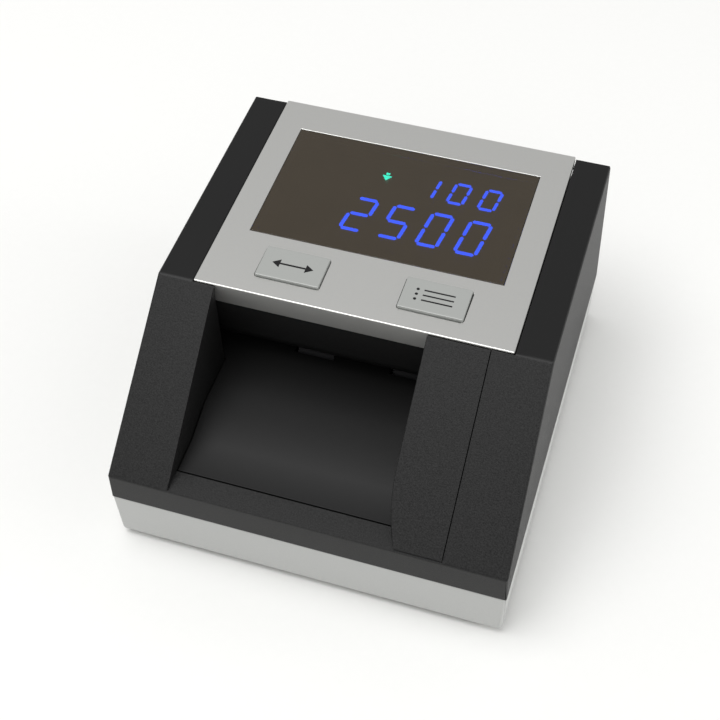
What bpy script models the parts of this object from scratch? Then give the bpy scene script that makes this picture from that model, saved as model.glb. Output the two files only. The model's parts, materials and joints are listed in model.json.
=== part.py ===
"""Counterfeit bill detector: a counter-top checker that draws a banknote in under a flip-up reader.

Every shape is drawn in one frame, in metres: X across the detector, Y back from the face of the
housing, Z up from the table. The empty "detector" then centres the whole detector on the origin.
"""

import math

import bmesh
import bpy
from mathutils import Matrix, Vector

MM = 0.001
AXES = {"X": 0, "Y": 1, "Z": 2}

# Overall sizes
WIDTH = 126.5 * MM
HOUSING_DEPTH = 136.6 * MM
BEZEL_PROUD = 0.5 * MM
LENGTH = HOUSING_DEPTH + BEZEL_PROUD
FOOT_HEIGHT = 2.2 * MM
BASE_HEIGHT = 19.3 * MM
LEDGE_HEIGHT = 30.45 * MM
TOP_HEIGHT = 70.7 * MM
SLOPE_RUN = 50.26 * MM

# Walls, drafts and clearances
WALL = 2.2 * MM
FLOOR = 2.4 * MM
BASE_INSET = 0.4 * MM
SIDE_DRAFT = 0.0325
GAP = 0.3 * MM
SEAM = 0.1 * MM
RUNNING = 0.15 * MM
OVERRUN = 5.0 * MM
SHELL_ROUND = 0.7 * MM
BASE_ROUND = 1.2 * MM
SMALL_ROUND = 0.4 * MM

# Heights above the table
SPLIT = FOOT_HEIGHT + BASE_HEIGHT
LEDGE = FOOT_HEIGHT + LEDGE_HEIGHT
TOP = FOOT_HEIGHT + TOP_HEIGHT
BASE_FLOOR = FOOT_HEIGHT + FLOOR
SLOPE = (TOP - LEDGE) / SLOPE_RUN
SLOPE_STRETCH = math.hypot(1.0, SLOPE)

# Bill path
PATH_HALF = 43.2 * MM
LEDGE_DEPTH = 8.0 * MM
RAMP_FOOT = 20.0 * MM
RAMP_RISE = 0.9 * MM
RAMP_TOP = 32.0 * MM
PATH_LEVEL = LEDGE + 5.1 * MM
TABLE_THICK = 2.0 * MM
PATH_HEIGHT = 2.2 * MM
CHEEK_WALL = 2.0 * MM
EXIT_HALF = 46.0 * MM
EXIT_HEIGHT = 5.6 * MM

# Hatch: face panel, frame and hinge
STRIP_WIDTH = 13.05 * MM
WELL_HALF = WIDTH / 2 - STRIP_WIDTH
WELL_WALL = 2.0 * MM
PANEL_HALF = WELL_HALF - GAP
PANEL_PROUD = 0.4 * MM
PANEL_THICK = 2.4 * MM
PANEL_LIP_THICK = 1.8 * MM
PANEL_LIP_DROP = 7.5 * MM
PANEL_TOP = TOP + PANEL_PROUD
PANEL_UNDER = PANEL_TOP - PANEL_THICK
PANEL_FRONT = SLOPE_RUN
PANEL_REAR = HOUSING_DEPTH + PANEL_PROUD
FRAME_HALF = WELL_HALF - 2 * GAP
FRAME_WALL = 1.8 * MM
FRAME_TOP = PANEL_UNDER - GAP
CEILING = PATH_LEVEL + PATH_HEIGHT
SLOT_LIP = (PANEL_FRONT + 3.0 * MM, CEILING + 11.0 * MM)
THROAT_Y = PANEL_FRONT + 9.7 * MM
HINGE_Y = HOUSING_DEPTH - 3.6 * MM
HINGE_Z = PANEL_UNDER - 6.0 * MM
FRAME_BACK = HINGE_Y - 6.0 * MM
FRAME_TAIL = HINGE_Y + 0.8 * MM
RAIL_FRONT = HINGE_Y - 0.6 * MM
KNUCKLE_RADIUS = 2.6 * MM
KNUCKLE_WIDTH = 4.6 * MM
KNUCKLE_NOTCH = 7.0 * MM
PIN_RADIUS = 1.4 * MM

# Display and buttons
WINDOW_HALF = 40.7 * MM
WINDOW_FRONT = 75.0 * MM
WINDOW_REAR = 124.2 * MM
WINDOW_THICK = 1.5 * MM
WINDOW_REST = 1.5 * MM
READOUT_INSET = 4.5 * MM
BUTTON_X = 22.45 * MM
BUTTON_Y = 63.3 * MM
BUTTON_SIZE = (20.4 * MM, 12.5 * MM)
BUTTON_PROUD = 1.0 * MM
BUTTON_TRAVEL = 0.8 * MM
BUTTON_FLANGE = 1.0 * MM
BOARD_THICK = 1.6 * MM
DISPLAY_BOARD_TOP = PANEL_UNDER - 7.3 * MM
BOARD_SCREW_X = FRAME_HALF - FRAME_WALL - 4.8 * MM
BOARD_SCREW_Y = 68.0 * MM
BOARD_SCREW_RADIUS = 1.0 * MM
HOLE_CORNER = 1.0 * MM

# Drive train
SHAFT_RADIUS = 2.0 * MM
FEED_Y = 66.0 * MM
EXIT_Y = 114.0 * MM
ROLLER_RADIUS = 6.0 * MM
ROLLER_PROUD = 0.3 * MM
ROLLER_WIDTH = 12.0 * MM
ROLLER_X = 16.0 * MM
IDLER_RADIUS = 5.0 * MM
AXLE_RADIUS = 1.5 * MM
AXLE_HALF = 29.0 * MM
RIB_X = 26.0 * MM
RIB_THICK = 2.0 * MM
SHAFT_Z = PATH_LEVEL + ROLLER_PROUD - ROLLER_RADIUS
IDLER_Z = PATH_LEVEL + ROLLER_PROUD + GAP + IDLER_RADIUS
MODULE = 0.75 * MM
PINION_TEETH = 12
GEAR_TEETH = 36
GEAR_WIDTH = 3.0 * MM
GEAR_CLEAR = 1.4 * MM
GEAR_INNER = -(WELL_HALF + WELL_WALL + GEAR_CLEAR)
GEAR_X = (GEAR_INNER - GEAR_WIDTH, GEAR_INNER)
PULLEY_WIDTH = 2.6 * MM
PULLEY_INNER = GEAR_X[0] - 2 * GAP
PULLEY_X = (PULLEY_INNER - PULLEY_WIDTH, PULLEY_INNER)
PULLEY_RADIUS = 5.0 * MM
BELT_THICK = 1.2 * MM
MOTOR_RADIUS = 10.0 * MM
MOTOR_LENGTH = 27.0 * MM
MOTOR_X = (-WELL_HALF - GAP, MOTOR_LENGTH - WELL_HALF - GAP)
MOTOR_NOSE_RADIUS = 3.2 * MM
MOTOR_NOSE = 1.6 * MM
SPINDLE_RADIUS = 1.0 * MM
SPINDLE_DEPTH = 5.0 * MM
BRACKET_THICK = 1.0 * MM
MOTOR_Z = BASE_FLOOR + 0.5 * MM + MOTOR_RADIUS
LUG_X = WELL_HALF - 4.7 * MM
LUG_THICK = 3.0 * MM
BUSH_RADIUS = 3.2 * MM

# Guide that narrows the path to one width of note
GUIDE_LEFT = 23.7 * MM
GUIDE_FRONT = 0.6 * MM
LEAD_IN_START = 19.5 * MM
LEAD_IN_DEPTH = 4.64 * MM
GUIDE_WALL = 2.0 * MM

# Sensors, boards, feet, screws and rear fittings
SENSOR_Y = (86.0 * MM, 94.0 * MM)
SENSOR_HALF = 40.0 * MM
HEAD_HALF = 7.0 * MM
HEAD_Y = (100.0 * MM, 106.0 * MM)
MAIN_BOARD_Z = BASE_FLOOR + 1.4 * MM
FOOT_RADIUS = 5.0 * MM
FOOT_RECESS = 1.1 * MM
FOOT_X = WIDTH / 2 - 17.25 * MM
FOOT_FRONT = 20.0 * MM
FOOT_REAR = HOUSING_DEPTH - 19.6 * MM
FOOT_PLACES = {
    "front_left": (-FOOT_X, FOOT_FRONT),
    "front_right": (FOOT_X, FOOT_FRONT),
    "rear_left": (-FOOT_X, FOOT_REAR),
    "rear_right": (FOOT_X, FOOT_REAR),
}
SCREW_INSET_X = 9.25 * MM
SCREW_INSET_FRONT = 9.0 * MM
SCREW_INSET_REAR = 8.6 * MM
SCREW_RADIUS = 1.45 * MM
SCREW_HEAD_RADIUS = 2.75 * MM
SCREW_HEAD_HEIGHT = 2.0 * MM
SCREW_LENGTH = 12.0 * MM
SCREW_SINK = 4.0 * MM
CROSS_HALF = (1.6 * MM, 0.35 * MM)
CROSS_DEPTH = 1.0 * MM
BOSS_RADIUS = 3.5 * MM
PILOT_DEPTH = 9.0 * MM
BOSS_FOOT = SPLIT - 9.0 * MM
POST_RADIUS = 4.5 * MM
POST_TOP = BOSS_FOOT - GAP
TABLE_POST_RADIUS = 3.0 * MM
TABLE_POSTS = ((PATH_HALF - 5.2 * MM, 16.0 * MM), (LUG_X + 0.5 * MM, 101.0 * MM))
JACK_X = 20.0 * MM
JACK_RADIUS = 3.8 * MM
JACK_BORE = 3.1 * MM
JACK_PIN = 1.0 * MM
REAR_FITTING_Z = FOOT_HEIGHT + 10.2 * MM
SWITCH_X = -40.0 * MM
SWITCH_SIZE = (14.0 * MM, 10.0 * MM)
BEZEL_BORDER = 1.2 * MM
ROCKER_TILT = math.radians(8.0)
ROCKER_DEPTH = 3.6 * MM


def tooth_pitch_radius(teeth):
    return MODULE * teeth / 2


def motor_place():
    """Y and Z of the motor's axis, where its pinion meshes with the gear on the feed shaft."""
    centres = tooth_pitch_radius(PINION_TEETH) + tooth_pitch_radius(GEAR_TEETH)
    drop = SHAFT_Z - MOTOR_Z
    return FEED_Y + math.sqrt(centres**2 - drop**2), MOTOR_Z


def slope_height(y):
    return LEDGE + SLOPE * y


def path_height(y):
    """Height of the surface that the note lies on, at this distance from the face."""
    if y < RAMP_FOOT:
        return LEDGE + RAMP_RISE * y / RAMP_FOOT
    if y < RAMP_TOP:
        rise = PATH_LEVEL - LEDGE - RAMP_RISE
        return LEDGE + RAMP_RISE + rise * (y - RAMP_FOOT) / (RAMP_TOP - RAMP_FOOT)
    return PATH_LEVEL


# Bodies: an empty on each joint's axis carries the pieces that move together.


def clear_scene():
    for obj in list(bpy.data.objects):
        bpy.data.objects.remove(obj, do_unlink=True)


def make_body(name, pivot, parent=None):
    empty = bpy.data.objects.new(name, None)
    bpy.context.scene.collection.objects.link(empty)
    empty["pivot"] = pivot
    if parent is None:
        empty.location = Vector((0.0, -LENGTH / 2, 0.0))
    else:
        empty.parent = parent
        empty.location = Vector(pivot) - Vector(parent["pivot"])
    return empty


clear_scene()
DETECTOR = make_body("detector", (0.0, 0.0, 0.0))
MOTOR_SPINDLE = make_body("motor_spindle", (0.0, *motor_place()), DETECTOR)
FEED_DRIVE = make_body("feed_drive", (0.0, FEED_Y, SHAFT_Z), DETECTOR)
EXIT_DRIVE = make_body("exit_drive", (0.0, EXIT_Y, SHAFT_Z), DETECTOR)
HATCH = make_body("hatch", (0.0, HINGE_Y, HINGE_Z), DETECTOR)
FEED_IDLER = make_body("feed_idler", (0.0, FEED_Y, IDLER_Z), HATCH)
EXIT_IDLER = make_body("exit_idler", (0.0, EXIT_Y, IDLER_Z), HATCH)
LEFT_BUTTON = make_body("left_button_body", (-BUTTON_X, BUTTON_Y, PANEL_TOP), HATCH)
RIGHT_BUTTON = make_body("right_button_body", (BUTTON_X, BUTTON_Y, PANEL_TOP), HATCH)
ROCKER = make_body("rocker_body", (SWITCH_X, HOUSING_DEPTH - ROCKER_DEPTH, REAR_FITTING_Z), DETECTOR)


def make_material(name, colour, roughness, metallic=0.0, alpha=1.0):
    material = bpy.data.materials.new(name)
    material.use_nodes = True
    shader = material.node_tree.nodes["Principled BSDF"]
    linear = [(part / 255) ** 2.2 for part in colour]
    shader.inputs["Base Color"].default_value = (*linear, 1.0)
    shader.inputs["Roughness"].default_value = roughness
    shader.inputs["Metallic"].default_value = metallic
    shader.inputs["Alpha"].default_value = alpha
    return material


MATERIALS = {
    "grey_abs": make_material("grey_abs", (178, 179, 176), 0.5),
    "silver_abs": make_material("silver_abs", (178, 179, 176), 0.4),
    "button_abs": make_material("button_abs", (160, 162, 158), 0.4),
    "black_abs": make_material("black_abs", (50, 50, 50), 0.6),
    "smoked_acrylic": make_material("smoked_acrylic", (62, 54, 46), 0.15, alpha=0.85),
    "clear_acrylic": make_material("clear_acrylic", (90, 84, 84), 0.1, alpha=0.6),
    "circuit_board": make_material("circuit_board", (34, 88, 52), 0.45),
    "readout_epoxy": make_material("readout_epoxy", (38, 38, 42), 0.5),
    "black_rubber": make_material("black_rubber", (28, 28, 28), 0.85),
    "roller_rubber": make_material("roller_rubber", (60, 60, 62), 0.8),
    "steel": make_material("steel", (190, 190, 188), 0.3, 1.0),
    "zinc_plate": make_material("zinc_plate", (176, 178, 180), 0.4, 1.0),
    "brass": make_material("brass", (196, 160, 92), 0.35, 1.0),
    "white_acetal": make_material("white_acetal", (226, 224, 216), 0.45),
}


# Shapes: each helper returns a closed mesh object that faces outwards.


def add_object(name, mesh_source):
    mesh = bpy.data.meshes.new(name)
    mesh_source.normal_update()
    mesh_source.to_mesh(mesh)
    mesh_source.free()
    obj = bpy.data.objects.new(name, mesh)
    bpy.context.scene.collection.objects.link(obj)
    obj.parent = DETECTOR
    return obj


def bevel_edges(shape, width, segments, keep):
    edges = [edge for edge in shape.edges if keep(edge) and edge.calc_face_angle(0) > 0.3]
    bmesh.ops.bevel(
        shape, geom=edges, offset=width, segments=segments, affect="EDGES", profile=0.5, clamp_overlap=True
    )


def every_edge(_edge):
    return True


def edges_above(height):
    """A test for edges that reach above this height: it leaves the edges of the lowest face sharp."""
    return lambda edge: max(vert.co.z for vert in edge.verts) > height


def edges_below(height):
    return lambda edge: min(vert.co.z for vert in edge.verts) < height


def prism(name, outline, axis, low, high, bevel=0.0, segments=1, keep=every_edge):
    """An outline of (a, b) points extruded along an axis; a and b are the other two axes, in order."""
    shape = bmesh.new()
    along = AXES[axis]
    across = [index for index in range(3) if index != along]
    verts = []
    for a, b in outline:
        place = [0.0, 0.0, 0.0]
        place[across[0]] = a
        place[across[1]] = b
        place[along] = low
        verts.append(shape.verts.new(place))
    face = shape.faces.new(verts)
    push = [0.0, 0.0, 0.0]
    push[along] = high - low
    new = bmesh.ops.extrude_face_region(shape, geom=[face])["geom"]
    moved = [item for item in new if isinstance(item, bmesh.types.BMVert)]
    bmesh.ops.translate(shape, verts=moved, vec=push)
    bmesh.ops.recalc_face_normals(shape, faces=shape.faces)
    if bevel:
        bevel_edges(shape, bevel, segments, keep)
    return add_object(name, shape)


def block(name, low, high, bevel=0.0, segments=1, keep=every_edge):
    outline = [(low[0], low[1]), (high[0], low[1]), (high[0], high[1]), (low[0], high[1])]
    return prism(name, outline, "Z", low[2], high[2], bevel, segments, keep)


def rod(name, axis, centre, radius, low, high, sides=24):
    """A round bar along an axis: centre is its place across that axis."""
    half = math.pi / sides
    outline = []
    for step in range(sides):
        angle = half + 2 * half * step
        outline.append((centre[0] + radius * math.cos(angle), centre[1] + radius * math.sin(angle)))
    return prism(name, outline, axis, low, high)


def tool(obj):
    obj.hide_render = True
    obj.display_type = "WIRE"
    return obj


def combine(target, operation, others):
    for other in others:
        modifier = target.modifiers.new(f"{operation.lower()}_{other.name}", "BOOLEAN")
        modifier.operation = operation
        modifier.solver = "EXACT"
        modifier.object = tool(other)


def cut(target, *others):
    combine(target, "DIFFERENCE", others)


def join(target, *others):
    combine(target, "UNION", others)


def settle(obj, material, body=None):
    """Gives a finished piece its material and hangs it on the body that it moves with."""
    obj.data.materials.clear()
    obj.data.materials.append(MATERIALS[material])
    body = body or DETECTOR
    obj.parent = body
    obj.location = -Vector(body["pivot"])


def lean_sides(obj, height):
    """Draws the sides in with height, as the draft of the mould does."""
    for vert in obj.data.vertices:
        drawn = 1.0 - SIDE_DRAFT * (vert.co.z - height) / (WIDTH / 2)
        vert.co.x *= drawn


def mirrored(x):
    return ((-1, "left", -x), (1, "right", x))


# Case


def screw_places():
    return {
        "front_left": (SCREW_INSET_X - WIDTH / 2, SCREW_INSET_FRONT),
        "front_right": (WIDTH / 2 - SCREW_INSET_X, SCREW_INSET_FRONT),
        "rear_left": (SCREW_INSET_X - WIDTH / 2, HOUSING_DEPTH - SCREW_INSET_REAR),
        "rear_right": (WIDTH / 2 - SCREW_INSET_X, HOUSING_DEPTH - SCREW_INSET_REAR),
    }


def make_base_tray():
    half = WIDTH / 2
    rim = SPLIT
    low, high = (-half, 0, FOOT_HEIGHT), (half, HOUSING_DEPTH, rim)
    tray = block("base_tray", low, high, BASE_ROUND, 2, edges_below(rim - BASE_ROUND))
    for vert in tray.data.vertices:
        drawn = BASE_INSET * (rim - vert.co.z) / BASE_HEIGHT
        vert.co.x -= math.copysign(drawn, vert.co.x)
        vert.co.y += drawn if vert.co.y < HOUSING_DEPTH / 2 else -drawn
    inner = half - BASE_INSET - WALL
    cavity_low = (-inner, BASE_INSET + WALL, BASE_FLOOR)
    cavity_high = (inner, HOUSING_DEPTH - BASE_INSET - WALL, rim + OVERRUN)
    cut(tray, block("tray_cavity", cavity_low, cavity_high))
    sunk = FOOT_HEIGHT + FOOT_RECESS
    under = BASE_FLOOR - SEAM
    for corner, place in screw_places().items():
        join(tray, rod(f"post_{corner}", "Z", place, POST_RADIUS, under, POST_TOP))
        sink = POST_TOP - SCREW_SINK
        cut(tray, rod(f"counterbore_{corner}", "Z", place, SCREW_HEAD_RADIUS + GAP, 0.0, sink))
        cut(tray, rod(f"clearance_{corner}", "Z", place, SCREW_RADIUS + GAP, sink - SEAM, POST_TOP + OVERRUN))
    for index, (x, y) in enumerate(TABLE_POSTS):
        top = path_height(y) - TABLE_THICK - GAP
        for _, side, across in mirrored(x):
            join(tray, rod(f"table_post_{index}_{side}", "Z", (across, y), TABLE_POST_RADIUS, under, top))
    for corner, place in FOOT_PLACES.items():
        cut(tray, rod(f"foot_recess_{corner}", "Z", place, FOOT_RADIUS + GAP, 0.0, sunk))
    rear = (HOUSING_DEPTH - WALL - OVERRUN, HOUSING_DEPTH + OVERRUN)
    cut(tray, rod("jack_hole", "Y", (JACK_X, REAR_FITTING_Z), JACK_RADIUS + GAP, *rear))
    width, height = SWITCH_SIZE
    low = (SWITCH_X - width / 2 - GAP, rear[0], REAR_FITTING_Z - height / 2 - GAP)
    high = (SWITCH_X + width / 2 + GAP, rear[1], REAR_FITTING_Z + height / 2 + GAP)
    cut(tray, block("switch_hole", low, high))
    settle(tray, "grey_abs")


def housing_outline(inset, foot):
    """Side view of the housing's outer face, or of its cavity where inset is the wall."""
    slope_drop = inset * SLOPE_STRETCH
    face = LEDGE + SLOPE * inset - slope_drop
    crest = (TOP - inset - LEDGE + slope_drop) / SLOPE
    rear = HOUSING_DEPTH - inset
    return [(inset, foot), (inset, face), (crest, TOP - inset), (rear, TOP - inset), (rear, foot)]


def cheek_outline():
    """Side view of a cheek's inner wall, whose top lies inside the sloping plate above it."""
    sunk = WALL * 0.4 * SLOPE_STRETCH
    foot = LEDGE - 4.0 * MM
    front = WALL * 0.5
    rear = SLOPE_RUN - GAP
    crest = [(y, slope_height(y) - sunk) for y in (front, rear)]
    return [(front, foot), *crest, (rear, foot)]


def make_upper_housing():
    half = WIDTH / 2
    foot = SPLIT + SEAM
    outer = housing_outline(0.0, foot)
    housing = prism("upper_housing", outer, "X", -half, half, SHELL_ROUND, 2, edges_above(foot + SEAM))
    lean_sides(housing, SPLIT)
    inner = half - WALL
    cavity = prism("housing_cavity", housing_outline(WALL, SPLIT - OVERRUN), "X", -inner, inner)
    lean_sides(cavity, SPLIT)
    cut(housing, cavity)
    ledge_low = (-PATH_HALF - SEAM, WALL / 2, LEDGE - TABLE_THICK)
    ledge_high = (PATH_HALF + SEAM, LEDGE_DEPTH, LEDGE + 2 * RAMP_RISE)
    join(housing, block("ledge_plate", ledge_low, ledge_high))
    wall_low = path_height(RAMP_TOP) + GAP
    for sign, side, _ in mirrored(PATH_HALF):
        span = sorted((sign * (PATH_HALF - WALL), sign * (PATH_HALF + CHEEK_WALL)))
        join(housing, prism(f"cheek_wall_{side}", cheek_outline(), "X", *span))
        span = sorted((sign * PATH_HALF, sign * (half - WALL / 2)))
        back_front = SLOPE_RUN - GAP - CHEEK_WALL
        back_low = (span[0], back_front, SPLIT + 2.0 * MM)
        back_high = (span[1], SLOPE_RUN - GAP, slope_height(back_front) - WALL / 4)
        back = block(f"cheek_back_{side}", back_low, back_high)
        lean_sides(back, SPLIT)
        join(housing, back)
        span = sorted((sign * WELL_HALF, sign * (WELL_HALF + WELL_WALL)))
        well_low = (span[0], SLOPE_RUN - 2 * GAP, wall_low)
        well_high = (span[1], HOUSING_DEPTH - WALL / 2, TOP - WALL / 2)
        join(housing, block(f"well_wall_{side}", well_low, well_high))
    for corner, place in screw_places().items():
        top = min(slope_height(place[1] - BOSS_RADIUS), TOP) - WALL / 2
        join(housing, rod(f"boss_{corner}", "Z", place, BOSS_RADIUS, BOSS_FOOT, top))
        cut(housing, rod(f"pilot_{corner}", "Z", place, SCREW_RADIUS + RUNNING, 0.0, BOSS_FOOT + PILOT_DEPTH))
    rail_low = (-WELL_HALF - SEAM, RAIL_FRONT, HINGE_Z - 3.0 * MM)
    rail_high = (WELL_HALF + SEAM, HOUSING_DEPTH - WALL / 2, TOP - WALL / 2)
    join(housing, block("hinge_rail", rail_low, rail_high))
    cut_recess(housing)
    cut_hatch_well(housing)
    low = (-EXIT_HALF, HOUSING_DEPTH - WALL - OVERRUN / 2, PATH_LEVEL - TABLE_THICK - GAP)
    high = (EXIT_HALF, HOUSING_DEPTH + OVERRUN, PATH_LEVEL + EXIT_HEIGHT)
    cut(housing, block("exit_slot", low, high))
    settle(housing, "black_abs")


def cut_recess(housing):
    sky = TOP + OVERRUN
    floor = [(-OVERRUN, path_height(-OVERRUN)), (LEDGE_DEPTH + SEAM, path_height(LEDGE_DEPTH))]
    over_ledge = floor + [(LEDGE_DEPTH + SEAM, sky), (-OVERRUN, sky)]
    cut(housing, prism("recess_mouth", over_ledge, "X", -PATH_HALF, PATH_HALF))
    low = (-PATH_HALF, LEDGE_DEPTH, LEDGE - 6.0 * MM)
    cut(housing, block("recess", low, (PATH_HALF, SLOPE_RUN + OVERRUN, sky)))


def cut_hatch_well(housing):
    sky = TOP + OVERRUN
    low = (-WELL_HALF, SLOPE_RUN - GAP, path_height(RAMP_TOP) - OVERRUN)
    high = (WELL_HALF, RAIL_FRONT, sky)
    cut(housing, block("hatch_well", low, high))
    over_rail = (-WELL_HALF, HINGE_Y - OVERRUN, HINGE_Z + 5.3 * MM)
    cut(housing, block("over_rail", over_rail, (WELL_HALF, HOUSING_DEPTH + OVERRUN, sky)))
    rebate = (-WELL_HALF, HINGE_Y + 1.3 * MM, HINGE_Z + 2.7 * MM)
    cut(housing, block("lip_rebate", rebate, (WELL_HALF, HOUSING_DEPTH + OVERRUN, sky)))
    for sign, side, _ in mirrored(WELL_HALF):
        span = sorted((sign * WELL_HALF, sign * (WELL_HALF - KNUCKLE_NOTCH)))
        low = (span[0], HINGE_Y - OVERRUN, HINGE_Z - KNUCKLE_RADIUS - 2 * GAP)
        cut(housing, block(f"knuckle_notch_{side}", low, (span[1], HOUSING_DEPTH + OVERRUN, sky)))
        span = sorted((sign * (WELL_HALF - SEAM), sign * (WELL_HALF + WELL_WALL + OVERRUN)))
        cut(housing, rod(f"pin_hole_{side}", "X", (HINGE_Y, HINGE_Z), PIN_RADIUS + RUNNING, *span))


def make_feet():
    for corner, place in FOOT_PLACES.items():
        foot = rod(f"foot_{corner}", "Z", place, FOOT_RADIUS, 0.0, FOOT_HEIGHT + FOOT_RECESS - GAP)
        settle(foot, "black_rubber")


def make_case_screws():
    head_top = POST_TOP - SCREW_SINK - GAP
    head_low = head_top - SCREW_HEAD_HEIGHT
    for corner, place in screw_places().items():
        screw = rod(f"case_screw_{corner}", "Z", place, SCREW_HEAD_RADIUS, head_low, head_top, 16)
        shank_top = head_top + SCREW_LENGTH
        join(screw, rod(f"shank_{corner}", "Z", place, SCREW_RADIUS, head_top - SEAM, shank_top, 16))
        for index, (a, b) in enumerate((CROSS_HALF, CROSS_HALF[::-1])):
            low = (place[0] - a, place[1] - b, head_low - OVERRUN)
            high = (place[0] + a, place[1] + b, head_low + CROSS_DEPTH)
            cut(screw, block(f"cross_{index}_{corner}", low, high))
        settle(screw, "zinc_plate")


# Bill path


def table_outline():
    """Side view of the table, from the housing's ledge to the exit slot."""
    front = LEDGE_DEPTH + GAP
    rear = HOUSING_DEPTH - GAP
    stations = [front, RAMP_FOOT, RAMP_TOP, rear]
    top = [(y, path_height(y)) for y in stations]
    return top + [(y, z - TABLE_THICK) for y, z in reversed(top)]


def make_bill_table():
    side = WELL_HALF - GAP
    table = prism("bill_table", table_outline(), "X", -side, side)
    narrow = PATH_HALF - GAP
    for sign, label, _ in mirrored(side):
        span = sorted((sign * narrow, sign * (side + OVERRUN)))
        low = (span[0], 0.0, LEDGE - 2 * OVERRUN)
        cut(table, block(f"table_shoulder_{label}", low, (span[1], SLOPE_RUN + GAP, TOP)))
        span = sorted((sign * (EXIT_HALF - GAP), sign * (side + OVERRUN)))
        low = (span[0], HOUSING_DEPTH - WALL - GAP, LEDGE - 2 * OVERRUN)
        cut(table, block(f"table_tongue_{label}", low, (span[1], HOUSING_DEPTH + OVERRUN, TOP)))
    for name, y in (("feed", FEED_Y), ("exit", EXIT_Y)):
        for sign, label, x in mirrored(LUG_X):
            low = (x - LUG_THICK / 2, y - 6.0 * MM, SHAFT_Z - 6.0 * MM)
            high = (x + LUG_THICK / 2, y + 6.0 * MM, PATH_LEVEL - TABLE_THICK / 2)
            join(table, block(f"lug_{name}_{label}", low, high))
            span = (x - LUG_THICK, x + LUG_THICK)
            cut(table, rod(f"bush_hole_{name}_{label}", "X", (y, SHAFT_Z), BUSH_RADIUS + RUNNING, *span))
        for sign, label, x in mirrored(ROLLER_X):
            half = ROLLER_WIDTH / 2 + 2 * GAP
            reach = ROLLER_RADIUS + GAP
            low = (x - half, y - reach, SHAFT_Z)
            cut(table, block(f"roller_slot_{name}_{label}", low, (x + half, y + reach, PATH_LEVEL + OVERRUN)))
    low = (-SENSOR_HALF - GAP, SENSOR_Y[0] - GAP, SHAFT_Z)
    cut(table, block("sensor_slot", low, (SENSOR_HALF + GAP, SENSOR_Y[1] + GAP, PATH_LEVEL + OVERRUN)))
    low = (-HEAD_HALF - GAP, HEAD_Y[0] - GAP, SHAFT_Z)
    cut(table, block("head_slot", low, (HEAD_HALF + GAP, HEAD_Y[1] + GAP, PATH_LEVEL + OVERRUN)))
    settle(table, "black_abs")


def guide_plan():
    """Plan of the guide: a straight inner edge that curves away from the path towards the face."""
    right = PATH_HALF - GAP
    rear = SLOPE_RUN - GAP
    reach = LEAD_IN_START - GUIDE_FRONT
    radius = (reach**2 + LEAD_IN_DEPTH**2) / (2 * LEAD_IN_DEPTH)
    sweep = math.asin(reach / radius)
    steps = 8
    curve = []
    for step in range(steps + 1):
        angle = sweep * step / steps
        x = GUIDE_LEFT + radius * (1 - math.cos(angle))
        curve.append((x, LEAD_IN_START - radius * math.sin(angle)))
    return [(right, rear), (GUIDE_LEFT, rear)] + curve + [(right, GUIDE_FRONT)]


def guide_outline(front, rear, drop, bottom_lift):
    stations = [front, RAMP_FOOT, RAMP_TOP, rear]
    bottom = [(y, path_height(y) + bottom_lift) for y in stations]
    return bottom + [(rear, slope_height(rear) - drop), (front, slope_height(front) - drop)]


def make_bill_guide():
    left, right = GUIDE_LEFT, PATH_HALF - GAP
    rear = SLOPE_RUN - GAP
    lift = 0.15 * MM
    side = guide_outline(GUIDE_FRONT - SEAM, rear + SEAM, 0.0, lift)
    guide = prism("bill_guide", side, "X", left - SEAM, right + SEAM)
    combine(guide, "INTERSECT", [prism("guide_plan", guide_plan(), "Z", 0.0, TOP + OVERRUN)])
    hollow_front = GUIDE_FRONT + 9.0 * MM
    hollow_rear = rear - GUIDE_WALL
    hollow = guide_outline(hollow_front, hollow_rear, GUIDE_WALL * SLOPE_STRETCH, -OVERRUN)
    cut(guide, prism("guide_hollow", hollow, "X", left + 2 * GUIDE_WALL, right - GUIDE_WALL))
    settle(guide, "black_abs")


# Drive train


def gear_outline(centre, teeth, phase):
    """Straight-flanked teeth, a little thinner than half the pitch so that a meshed pair runs free."""
    pitch_radius = tooth_pitch_radius(teeth)
    tip = pitch_radius + 0.8 * MODULE
    root = pitch_radius - 1.1 * MODULE
    step = 2 * math.pi / teeth
    outline = []
    for tooth in range(teeth):
        middle = phase + tooth * step
        for radius, share in ((root, -0.33), (tip, -0.10), (tip, 0.10), (root, 0.33)):
            angle = middle + share * step
            outline.append((centre[0] + radius * math.cos(angle), centre[1] + radius * math.sin(angle)))
    return outline


def mesh_angle():
    """Direction from the feed shaft's gear to the motor's pinion, in the Y-Z plane."""
    y, z = motor_place()
    return math.atan2(z - SHAFT_Z, y - FEED_Y)


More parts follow.
